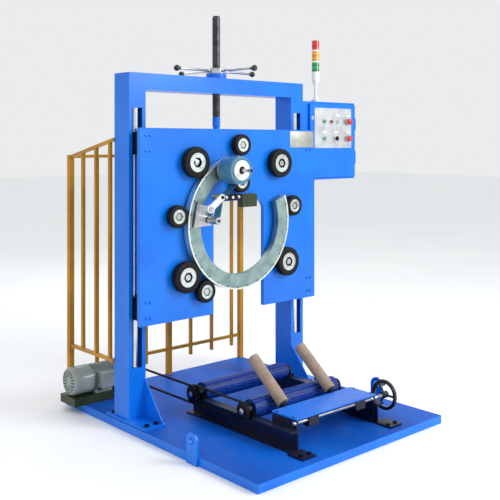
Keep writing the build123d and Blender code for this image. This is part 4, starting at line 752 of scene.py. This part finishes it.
class AddFilm(bpy.types.Operator):
    """Adds the film roll, and the web that runs over the tension rollers."""

    bl_idname = "wrapper.film"
    bl_label = "Add the film"

    def execute(self, context):
        low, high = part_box("film_roll")
        centre = middle("film_roll")
        radius = (high.x - low.x) / 2 / MM
        length = (high.y - low.y) / MM
        foot = Vector((centre.x, low.y, centre.z))
        # Both ends of the roll are grooved where the turns of film don't line up.
        grooves, core = 9, 38.6
        face = [(core + (radius - 42) * i / grooves, 0.5 + 0.7 * (i % 2)) for i in range(grooves + 1)]
        far = [(r, length - along) for r, along in reversed(face)]
        wound = turned(face + [(radius - 1, 1), (radius, 3), (radius, length - 3), (radius - 1, length - 1)]
                       + far, foot, Y_AXIS, 96)
        finished(wound, "film_roll_wound", "wound_film", "film", ["film_roll"])
        hub_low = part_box("film_hub")[0]
        hub_face = Vector((centre.x, hub_low.y, centre.z))
        knob = turned([(22.5, -1.5), (46, -1.5), (47, -0.5), (47, 0.4), (22.5, 0.4)], hub_face, Y_AXIS, 64)
        finished(knob, "film_hub_rim", "white_abs", "film")
        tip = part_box("film_spindle")[0].y
        grip = turned([(0, 0), (9, 0), (11.5, 2), (11.5, 16), (10, 17.5), (0, 17.5)],
                      Vector((centre.x, tip, centre.z)), Y_AXIS, 32)
        finished(grip, "spindle_end", "turned_steel", "ring")
        # A thin black ring set 6 mm inside the hub's bore: painted shade in the hole.
        bore = turned([(10.6, 0), (21.6, 0), (21.6, 1), (10.6, 1)], hub_face + Y_AXIS * 0.006, Y_AXIS, 48)
        finished(bore, "film_hub_bore_shade", "black_oxide_steel", "film")
        self.add_web(centre, radius * MM, high.y)
        return {"FINISHED"}

    def add_web(self, roll, roll_r, roll_back):
        """Two flat spans: roll to lever roller, and lever roller to fixed roller."""
        lever = joint_place("lever_roller_spin")
        fixed = joint_place("fixed_roller_spin")
        lever_r = (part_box("lever_roller")[1].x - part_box("lever_roller")[0].x) / 2
        fixed_r = (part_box("fixed_roller")[1].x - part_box("fixed_roller")[0].x) / 2
        gap = 0.0008
        edge = 0.004
        upper = tangent(roll, roll_r + gap, lever, lever_r + gap)
        lower = tangent(lever, lever_r + gap, fixed, fixed_r + gap)
        low_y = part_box("lever_roller")[0].y + edge
        high_y = min(roll_back - 0.003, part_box("lever_roller")[1].y - edge)
        for name, (start, end), bodies in (
                ("film_span_upper", upper, ("ring", "lever")), ("film_span_lower", lower, ("lever", "ring"))):
            web = flat_strip(start, end, low_y, high_y)
            web.name = name
            web.data.materials.append(FINISHES["film_web"])
            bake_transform(web)


def tangent(first, first_r, second, second_r):
    """The straight run that touches two circles on their outer side, in the ring's plane."""
    gap = Vector((second.x - first.x, 0, second.z - first.z))
    reach = gap.length
    along = math.atan2(gap.z, gap.x)
    tilt = along + math.acos((first_r - second_r) / reach)
    out = Vector((math.cos(tilt), 0, math.sin(tilt)))
    start = Vector((first.x, 0, first.z)) + out * first_r
    end = Vector((second.x, 0, second.z)) + out * second_r
    return start, end


def flat_strip(start, end, low_y, high_y):
    """A thin closed strip of film between two lines."""
    run = end - start
    deselect()
    bpy.ops.mesh.primitive_grid_add(x_subdivisions=24, y_subdivisions=4, size=1.0)
    strip = bpy.context.active_object
    across = Vector((0, high_y - low_y, 0))
    for vertex in strip.data.vertices:
        x, y = vertex.co.x + 0.5, vertex.co.y + 0.5
        vertex.co = start + run * x + Vector((0, low_y, 0)) + across * y
    thick = strip.modifiers.new("thickness", "SOLIDIFY")
    thick.thickness = 0.0006
    thick.offset = 0.0
    apply_modifiers(strip)
    return face_outwards(strip)


class AddRollers(bpy.types.Operator):
    """Adds both support rollers with their shafts, end rings and toothed chain wheels."""

    bl_idname = "wrapper.rollers"
    bl_label = "Add the support rollers"

    def execute(self, context):
        sizes = context.scene.wrapper_sizes
        link_x, drive_x = chain_lines()
        for name, finish, body, wheels in (
                ("front_roller", "dotted_sleeve", "front_roller", [link_x]),
                ("rear_roller", "dotted_sleeve", "rear_roller", [link_x, drive_x])):
            low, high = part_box(name)
            centre = middle(name)
            radius = (high.z - low.z) / 2 / MM
            left, right = tube_ends()
            length = (right - left) / MM
            foot = Vector((left, centre.y, centre.z))
            tube = turned([(16, 3), (radius - 9, 3), (radius - 7, 0.5), (radius - 2, 0), (radius, 2),
                           (radius, length - 2), (radius - 2, length), (radius - 7, length - 0.5),
                           (radius - 9, length - 3), (16, length - 3)], foot, X_AXIS, 96)
            finished(tube, name + "_tube", finish, body, [name])
            shaft = bar(0.015, (low.x, centre.y, centre.z), (high.x, centre.y, centre.z), 1.2)
            finished(shaft, name + "_shaft", "turned_steel", body)
            toothed = join([chain_wheel(x, centre, sizes) for x in wheels])
            finished(toothed, name + "_chain_wheels", "black_oxide_steel", body)
        low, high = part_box("drive_sprocket")
        centre = joint_place("drive_sprocket_spin")
        shaft = bar(0.015, (low.x, centre.y, centre.z), (high.x, centre.y, centre.z), 1.2)
        finished(shaft, "drive_shaft", "turned_steel", "drive_sprocket", ["drive_sprocket"])
        finished(chain_wheel(drive_x, centre, sizes), "drive_chain_wheel", "black_oxide_steel",
                 "drive_sprocket")
        return {"FINISHED"}


def tube_ends():
    """Where a roller's tube starts and stops, this far in from the outer edges of the rails' feet."""
    low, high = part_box("bed_rails")
    inset = 0.061
    return low.x + inset, high.x - inset


def chain_lines():
    """The x of the two chains, from the drive chain wheel and the gap between the chains."""
    low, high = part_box("drive_chains")
    half_chain = 0.007
    return high.x - half_chain, low.x + half_chain


def chain_wheel(x, centre, sizes):
    """A toothed wheel with a hub. Its teeth are thinner at their tips."""
    teeth = sizes.sprocket_teeth
    root = sizes.chain_radius - 0.0042
    tip = sizes.chain_radius + 0.0022
    half = 0.0028
    tip_share = 0.6
    deselect()
    bpy.ops.mesh.primitive_cylinder_add(
        vertices=teeth * 4, radius=root, depth=2 * half, location=(x, centre.y, centre.z),
        rotation=(0, math.pi / 2, 0))
    wheel = bake_place(bpy.context.active_object)
    for vertex in wheel.data.vertices:
        out = Vector((0, vertex.co.y - centre.y, vertex.co.z - centre.z))
        step = round(math.atan2(out.z, out.y) / math.tau * teeth * 4) % 4
        if step in (1, 2):
            across = x + (vertex.co.x - x) * tip_share
            vertex.co = Vector((across, centre.y, centre.z)) + out.normalized() * tip
    soften(wheel, 0.3)
    hub = bar(0.024, (x - 0.009, centre.y, centre.z), (x + 0.009, centre.y, centre.z), 0.8)
    return join([wheel, hub])


class AddChains(bpy.types.Operator):
    """Adds both roller chains, link by link."""

    bl_idname = "wrapper.chains"
    bl_label = "Add the chains"

    def execute(self, context):
        link_x, drive_x = chain_lines()
        radius = context.scene.wrapper_sizes.chain_radius
        front = joint_place("front_roller_spin")
        rear = joint_place("rear_roller_spin")
        motor = joint_place("drive_sprocket_spin")
        loops = [self.chain(link_x, front, rear, radius), self.chain(drive_x, rear, motor, radius)]
        finished(join(loops), "roller_chains", "black_oxide_steel", "base", ["drive_chains"])
        return {"FINISHED"}

    def chain(self, x, start, end, radius):
        """One closed loop whose pins follow two arcs and two straights."""
        straight = (end - start).length
        total = 2 * straight + math.tau * radius
        chain_pitch = 0.0127
        links = 2 * round(total / chain_pitch / 2)
        pitch = total / links
        plate = cuboid((-0.0007, -0.0026, -0.0042), (0.0007, pitch + 0.0026, 0.0042), 0.0)
        roller = bar(0.0041, (-0.0035, 0, 0), (0.0035, 0, 0), 0.0, 10)
        pieces = []
        for index in range(links):
            here = self.on_loop(index * pitch, start, end, radius, straight)
            there = self.on_loop((index + 1) * pitch, start, end, radius, straight)
            angle = math.atan2(there[1] - here[1], there[0] - here[0])
            wide = 0.0056 if index % 2 else 0.0042
            turn = Matrix.Rotation(angle, 4, X_AXIS)
            for side in (-wide, wide):
                twin = shift_copy(plate, (0, 0, 0))
                twin.data.transform(Matrix.Translation((x + side, here[0], here[1])) @ turn)
                pieces.append(twin)
            pieces.append(shift_copy(roller, (x, here[0], here[1])))
        bpy.data.objects.remove(plate)
        bpy.data.objects.remove(roller)
        return join(pieces)

    def on_loop(self, distance, start, end, radius, straight):
        """The y and z of a point this far round the loop, from the top of the first wheel."""
        arc = math.pi * radius
        total = 2 * (straight + arc)
        distance %= total
        if distance < straight:
            return start.y + distance, start.z + radius
        if distance < straight + arc:
            angle = math.pi / 2 - (distance - straight) / radius
            return end.y + radius * math.cos(angle), end.z + radius * math.sin(angle)
        if distance < 2 * straight + arc:
            return end.y - (distance - straight - arc), end.z - radius
        angle = -math.pi / 2 - (distance - 2 * straight - arc) / radius
        return start.y + radius * math.cos(angle), start.z + radius * math.sin(angle)


class AddRollerMotor(bpy.types.Operator):
    """Adds the finned roller motor with its fan cover, terminal box and flange bolts."""

    bl_idname = "wrapper.roller_motor"
    bl_label = "Add the roller motor"

    def execute(self, context):
        low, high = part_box("drive_motor")
        rail = joint_place("drive_sprocket_spin")
        axis_y, axis_z = rail.y, rail.z
        radius = (high.z - axis_z) / MM
        right = high.x
        fan = 120.0
        wall, box_inset = 14, 0.030
        foot = Vector((low.x, axis_y, axis_z))
        cover = turned([(0, 2), (26, 2), (26, 0.5), (radius - 18, 0.5), (radius - 8, 3), (radius - 2, 10),
                        (radius, 18), (radius, fan - 1), (radius - 2, fan), (radius - 2, fan - 4),
                        (0, fan - 4)], foot, X_AXIS, 72)
        # Black blocks stand for the fan cover's slots: their black is painted shade in the openings.
        slots = []
        for ring_r, count in ((34, 12), (46, 16), (58, 20)):
            seat = foot + Vector((0, ring_r * MM, 0))
            slot = cuboid(seat + Vector((-0.0006, -0.004, -0.0035)),
                          seat + Vector((0.002, 0.004, 0.0035)), 0.3)
            slots.append(ring_of(slot, foot, X_AXIS, count))
        finished(cover, "motor_fan_cover", "grey_enamel", "base", ["drive_motor"])
        finished(join(slots), "motor_grille", "black_oxide_steel", "base")
        body_foot = foot + X_AXIS * (fan * MM)
        length = (right - low.x) / MM - fan
        core = radius - wall
        body = turned([(0, 0), (core + 4, 0), (core + 4, 10), (core, 12), (core, length - 14),
                       (core + 6, length - 12), (core + 6, length), (0, length)], body_foot, X_AXIS, 72)
        fin = cuboid(body_foot + Vector((0.010, -0.0013, (core - 2) * MM)),
                     body_foot + Vector((length * MM - 0.012, 0.0013, (radius - 5) * MM)), 0.6)
        fins = ring_of(fin, body_foot, X_AXIS, context.scene.wrapper_sizes.motor_fins)
        foot_top = low.z + 0.014
        feet = cuboid((body_foot.x + 0.02, axis_y - 0.06, low.z), (right - 0.02, axis_y + 0.06, foot_top), 2)
        finished(join([body, fins, feet]), "motor_body", "grey_enamel", "base")
        box_half = 0.042
        box_low = Vector((body_foot.x + box_inset, low.y, axis_z - box_half))
        box_high = Vector((right - box_inset, axis_y - radius * MM + 0.02, axis_z + box_half))
        box = cuboid(box_low + Vector((0, 0.008, 0)), box_high, 3)
        lid = cuboid(box_low + Vector((-0.002, 0, -0.002)),
                     Vector((box_high.x + 0.002, box_low.y + 0.009, box_high.z + 0.002)), 2.5)
        gland = bar(0.011, (box_low.x + 0.03, box_low.y + 0.024, box_low.z - 0.016),
                    (box_low.x + 0.03, box_low.y + 0.024, box_low.z + 0.002), 1.0, 6)
        finished(join([box, lid, gland]), "motor_terminal_box", "grey_enamel", "base")
        screws = []
        for x, z in corners(box_low, box_high, 0.008):
            screws.append(bar(0.004, (x, box_low.y - 0.0005, z), (x, box_low.y + 0.003, z), 0.5, 16))
        for x in (body_foot.x + 0.03, right - 0.03):
            for y in (axis_y - 0.048, axis_y + 0.048):
                screws.append(hex_bolt((x, y, foot_top), Z_AXIS, 13, 8))
        flange_seat = Vector((right + 0.0005, axis_y, axis_z))
        bolt = hex_bolt(flange_seat + Vector((-0.001, 0.07, 0)), -X_AXIS, 13, 8)
        screws.append(ring_of(bolt, flange_seat, X_AXIS, 4))
        finished(join(screws), "motor_bolts", "turned_steel", "base")
        return {"FINISHED"}


class AddSignals(bpy.types.Operator):
    """Adds the signal tower's lenses and the two pilot lamps."""

    bl_idname = "wrapper.signals"
    bl_label = "Add the signal lamps"

    def execute(self, context):
        low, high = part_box("tower_lenses")
        centre = middle("tower_lenses")
        tall = high.z - low.z - 2 * LENS_PITCH
        radius = (high.x - low.x) / 2 / MM
        for index, colour in enumerate(("green", "amber", "red")):
            foot = Vector((centre.x, centre.y, low.z + index * LENS_PITCH))
            height = tall / MM
            outline = [(0, 0.2), (radius - 1, 0.2), (radius - 0.3, 1.5)]
            ribs = 7
            for rib in range(ribs):
                step = (height - 8) / ribs
                outline += [(radius - 0.3, 2 + rib * step), (radius - 1.1, 2 + rib * step + step * 0.5)]
            dome = [(radius - 1, height - 4), (radius - 4, height - 0.2), (0, height - 0.2)]
            lens = turned(outline + dome, foot, Z_AXIS, 64)
            replaced = ["tower_lenses"] if index == 0 else []
            finished(lens, colour + "_tower_lens", colour + "_lens", "base", replaced)
        plate_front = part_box("instrument_plate")[0].y
        for name, x, z, finish in self.lamp_places():
            foot = Vector((x, plate_front + 0.0005, z))
            cap = turned([(0, -2.5), (5, -2.3), (9, -1), (11.4, 1.5), (11.6, 4), (11.6, 6.4), (0, 6.4)],
                         foot, Y_AXIS, 48)
            finished(cap, name, finish, "door")
        return {"FINISHED"}

    def lamp_places(self):
        """Both lamps stand in the top row, the green one above the start button."""
        start = middle("start_button")
        row = middle("upper_stop_button").z
        spread = 0.067
        return [("green_pilot_lamp", start.x, row, "green_lens"),
                ("red_pilot_lamp", start.x + spread, row, "dark_red_lens")]


class AddControlDetails(bpy.types.Operator):
    """Adds the door's locks, the plate's rivets, blank legends and the steel device rings."""

    bl_idname = "wrapper.control_details"
    bl_label = "Add the control box details"

    def execute(self, context):
        low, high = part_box("instrument_plate")
        door_low, door_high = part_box("box_door")
        face = door_low.y - 0.002
        rivets = []
        for x, z in corners(low, high, 0.012):
            rivets.append(turned([(0, -1.6), (2.2, -1.2), (3.4, 0), (3.4, 0.5), (0, 0.5)],
                                 Vector((x, face, z)), Y_AXIS, 20))
        finished(join(rivets), "plate_rivets", "turned_steel", "door")
        legends = []
        legend_above, legend_half, legend_tall = 0.034, 0.019, 0.011
        for node in DEVICES:
            spot = middle(node)
            foot = Vector((spot.x, face, spot.z + legend_above))
            legends.append(cuboid(foot + Vector((-legend_half, -0.0008, 0)),
                                  foot + Vector((legend_half, 0.0003, legend_tall)), 0.3))
        finished(join(legends), "blank_legends", "white_abs", "door")
        rings = []
        for node in DEVICES:
            spot = middle(node)
            rings.append(turned([(11.2, -1.2), (13.4, -1.2), (14.7, 0.3), (14.7, 4.6), (11.2, 4.6)],
                                Vector((spot.x, face - 0.005, spot.z)), Y_AXIS, 48))
        finished(join(rings), "device_rings", "chromed_steel", "door")
        locks = []
        lock_from_end, lock_from_edge = 0.09, 0.022
        for z in (door_low.z + lock_from_end, door_high.z - lock_from_end):
            seat = Vector((door_low.x + lock_from_edge, door_low.y, z))
            locks.append(turned([(0, -2), (6, -2), (6.5, -1), (10, -1.2), (12, 0), (12, 0.6), (0, 0.6)],
                                seat, Y_AXIS, 40))
            locks.append(cuboid(seat + Vector((-0.0012, -0.0028, -0.0045)),
                                seat + Vector((0.0012, -0.0018, 0.0045)), 0.2))
        finished(join(locks), "door_locks", "chromed_steel", "door")
        return {"FINISHED"}


class AddPanelDetails(bpy.types.Operator):
    """Adds the panel's blank riveted plate, the bearing bolts and the arm's sensor."""

    bl_idname = "wrapper.panel_details"
    bl_label = "Add the panel details"

    def execute(self, context):
        low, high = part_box("ring_panel")
        face = low.y
        plate_low = Vector((high.x - 0.214, face - 0.002, high.z - 0.106))
        plate_high = Vector((high.x - 0.010, face + 0.0005, high.z - 0.008))
        plate = cuboid(plate_low, plate_high, 0.6)
        finished(plate, "blank_plate", "dull_aluminium", "carriage")
        heads = []
        for x, z in corners(plate_low, plate_high, 0.008):
            heads.append(turned([(0, -1.4), (2.0, -1), (3.0, 0), (3.0, 0.5), (0, 0.5)],
                                Vector((x, plate_low.y, z)), Y_AXIS, 20))
        bearing_low, bearing_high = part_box("slide_bearings")
        inset = 0.028
        tall = 0.12
        for x in (bearing_low.x + inset, bearing_high.x - inset):
            for z0 in (bearing_low.z, bearing_high.z - tall):
                for dx in (-0.014, 0.014):
                    for dz in (0.02, tall - 0.02):
                        # The plate covers the bolts behind it.
                        if x + dx < plate_low.x or z0 + dz < plate_low.z - 0.01:
                            heads.append(hex_bolt((x + dx, face, z0 + dz), -Y_AXIS, 13, 7))
        finished(join(heads), "panel_bolts", "blue_enamel", "carriage")
        arm_low, arm_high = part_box("guide_arm")
        row = arm_high.z - 0.015
        spot = Vector((arm_low.x + 0.075, arm_low.y, row))
        sensor = turned([(0, -6), (7, -6), (8, -5), (8, 0.5), (0, 0.5)], spot, Y_AXIS, 32)
        finished(sensor, "coil_sensor", "white_abs", "carriage")
        nut_spots = (arm_low.x + 0.03, arm_low.x + 0.12)
        nuts = [hex_bolt((x, arm_low.y, row), -Y_AXIS, 13, 8) for x in nut_spots]
        finished(join(nuts), "arm_bolts", "turned_steel", "carriage")
        return {"FINISHED"}


class AddRingDetails(bpy.types.Operator):
    """Adds the ring's screws, the spindle flange bolts and the roller nuts."""

    bl_idname = "wrapper.ring_details"
    bl_label = "Add the ring details"

    def execute(self, context):
        low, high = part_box("wrap_ring")
        centre = joint_place("ring_spin")
        radius = (high.x - low.x) / 2
        row = radius - 0.0125
        screws = []
        # The ring's mouth, and the angle between screws and from a screw to the mouth.
        gap_from, gap_to, margin, step = 19, 95, 3, 12
        for angle in range(gap_to + margin, 360 + gap_from - margin, step):
            turn = math.radians(angle)
            seat = Vector((centre.x + row * math.cos(turn), low.y, centre.z + row * math.sin(turn)))
            screws.append(turned([(0, 0.6), (2, 0.6), (2, -0.8), (4.6, -0.8), (5, 0), (5, 0.8), (0, 0.8)],
                                 seat, Y_AXIS, 16))
        finished(join(screws), "ring_screws", "black_oxide_steel", "ring")
        spindle = middle("film_spindle")
        seat = Vector((spindle.x + 0.022, low.y - 0.012, spindle.z))
        flange = ring_of(hex_bolt(seat, -Y_AXIS, 8, 3), Vector((spindle.x, low.y, spindle.z)), Y_AXIS, 4)
        finished(flange, "spindle_bolts", "turned_steel", "ring")
        pin_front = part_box("roller_bracket")[0].y
        fixed = joint_place("fixed_roller_spin")
        pivot = joint_place("lever_swing")
        pins = [hex_bolt((fixed.x, pin_front + 0.002, fixed.z), -Y_AXIS, 11, 1.9),
                bar(0.006, (pivot.x, pin_front + 0.0005, pivot.z), (pivot.x, pin_front + 0.004, pivot.z),
                    0.8, 6)]
        finished(join(pins), "roller_pin_nuts", "black_oxide_steel", "ring")
        lever_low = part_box("tension_lever")[0].y
        tip = joint_place("lever_roller_spin")
        cap = hex_bolt((tip.x, lever_low, tip.z), -Y_AXIS, 15, 8)
        finished(cap, "lever_nut", "black_oxide_steel", "lever")
        return {"FINISHED"}


class AddBedDetails(bpy.types.Operator):
    """Adds the cross screw's threads, the cover's screws, bearing bolts and guide roller caps."""

    bl_idname = "wrapper.bed_details"
    bl_label = "Add the roller bed details"

    def execute(self, context):
        self.cross_screw(context.scene.wrapper_sizes.cross_pitch / MM)
        bridge_low, bridge_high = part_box("slide_bridge")
        heads = []
        for x in (bridge_low.x + 0.006, bridge_high.x - 0.006):
            for y in (bridge_low.y + 0.03, bridge_high.y - 0.03):
                heads.append(turned([(0, 1.6), (2.4, 1.6), (2.4, 3), (4.4, 3), (5, 2.2), (5, -0.4),
                                     (0, -0.4)], Vector((x, y, bridge_high.z)), Z_AXIS, 20))
        for y in (joint_place("front_roller_spin").y, joint_place("rear_roller_spin").y):
            low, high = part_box("roller_bearings")
            foot_top = low.z + BEARING_FOOT
            for x in (low.x + BEARING_HALF, high.x - BEARING_HALF):
                for dy in (-0.043, 0.043):
                    heads.append(hex_bolt((x, y + dy, foot_top), Z_AXIS, 15, 9))
        finished(join(heads), "bed_bolts", "black_oxide_steel", "base")
        for side in ("left", "right"):
            name = f"{side}_guide_roller_spin"
            foot = joint_place(name)
            axis = Vector(JOINTS[name]["axis"]).normalized()
            top = foot + axis * (GUIDE_ROLLER_LENGTH - 0.0015)
            cap = turned([(0, 0), (12, 0), (12, 4), (9, 6), (9, 9), (0, 9)], top, axis, 40)
            finished(cap, f"guide_roller_{side}_cap", "white_abs", f"{side}_guide_roller")
        return {"FINISHED"}

    def cross_screw(self, pitch):
        low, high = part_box("cross_screw")
        centre = middle("cross_screw")
        start = Vector((low.x, centre.y, centre.z))
        inner_left = low.x + 0.03
        inner_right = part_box("slide_bridge")[1].x - 0.02
        length = (inner_right - inner_left) / MM
        crest, depth = 9.9, 1.6
        thread_foot = Vector((inner_left, centre.y, centre.z))
        thread = screw_thread(crest, depth, pitch, thread_foot, X_AXIS, length, 20)
        ends = [bar(0.01, start, start + X_AXIS * 0.031, 1.0),
                bar(0.01, (inner_right - 0.002, centre.y, centre.z), (high.x, centre.y, centre.z), 1.0)]
        finished(join([thread] + ends), "cross_screw_thread", "turned_steel", "screw",
                 ["cross_screw"])


class AddStage(bpy.types.Operator):
    """Adds the pale floor, the soft lights and the camera."""

    bl_idname = "wrapper.stage"
    bl_label = "Add the stage"

    def execute(self, context):
        deselect()
        bpy.ops.mesh.primitive_plane_add(size=FLOOR_SIZE, location=(0, 0, -FLOOR_DROP))
        floor = bpy.context.active_object
        floor.name = "floor"
        floor.data.materials.append(FINISHES["floor"])
        world = bpy.data.worlds.new("studio")
        context.scene.world = world
        world.use_nodes = True
        sky = world.node_tree.nodes["Background"]
        sky.inputs["Color"].default_value = SKY_COLOUR
        sky.inputs["Strength"].default_value = SKY_STRENGTH
        context.scene.view_settings.view_transform = "Standard"
        for name, place, aim, size, power in LAMPS:
            self.lamp(name, Vector(place), Vector((0, 0, aim)), size, power)
        deselect()
        bpy.ops.object.camera_add(location=CAMERA_PLACE, rotation=(math.pi / 2, 0, CAMERA_TURN))
        camera = bpy.context.active_object
        camera.data.sensor_width = CAMERA_SENSOR
        camera.data.lens = CAMERA_LENS
        camera.data.shift_y = CAMERA_SHIFT
        context.scene.camera = camera
        return {"FINISHED"}

    def lamp(self, name, place, aim, size, power):
        """A large square soft light turned towards a point."""
        deselect()
        bpy.ops.object.light_add(type="AREA", location=place,
                                 rotation=(aim - place).to_track_quat("-Z", "Y").to_euler())
        light = bpy.context.active_object
        light.name = name
        light.data.size = size
        light.data.energy = power


OPERATORS = (FinishNodes, AddGuideWheels, AddLeadScrew, AddCapstan, AddFilm, AddRollers, AddChains,
             AddRollerMotor, AddSignals, AddControlDetails, AddPanelDetails, AddRingDetails,
             AddBedDetails, AddStage)


class WRAPPER_PT_panel(bpy.types.Panel):
    bl_label = "Coil wrapper"
    bl_idname = "WRAPPER_PT_panel"
    bl_space_type = "VIEW_3D"
    bl_region_type = "UI"
    bl_category = "Wrapper"

    def draw(self, context):
        layout = self.layout
        for name in WrapperColours.__annotations__:
            layout.prop(context.scene.wrapper_colours, name)
        for name in WrapperSizes.__annotations__:
            layout.prop(context.scene.wrapper_sizes, name)
        for operator in OPERATORS:
            layout.operator(operator.bl_idname)


CLASSES = (WrapperColours, WrapperSizes) + OPERATORS + (WRAPPER_PT_panel,)


def register():
    for item in CLASSES:
        bpy.utils.register_class(item)
    bpy.types.Scene.wrapper_colours = bpy.props.PointerProperty(type=WrapperColours)
    bpy.types.Scene.wrapper_sizes = bpy.props.PointerProperty(type=WrapperSizes)


def unregister():
    del bpy.types.Scene.wrapper_colours
    del bpy.types.Scene.wrapper_sizes
    for item in reversed(CLASSES):
        bpy.utils.unregister_class(item)


def main():
    register()
    for operator in OPERATORS:
        group, name = operator.bl_idname.split(".")
        getattr(getattr(bpy.ops, group), name)()


if __name__ == "__main__":
    main()
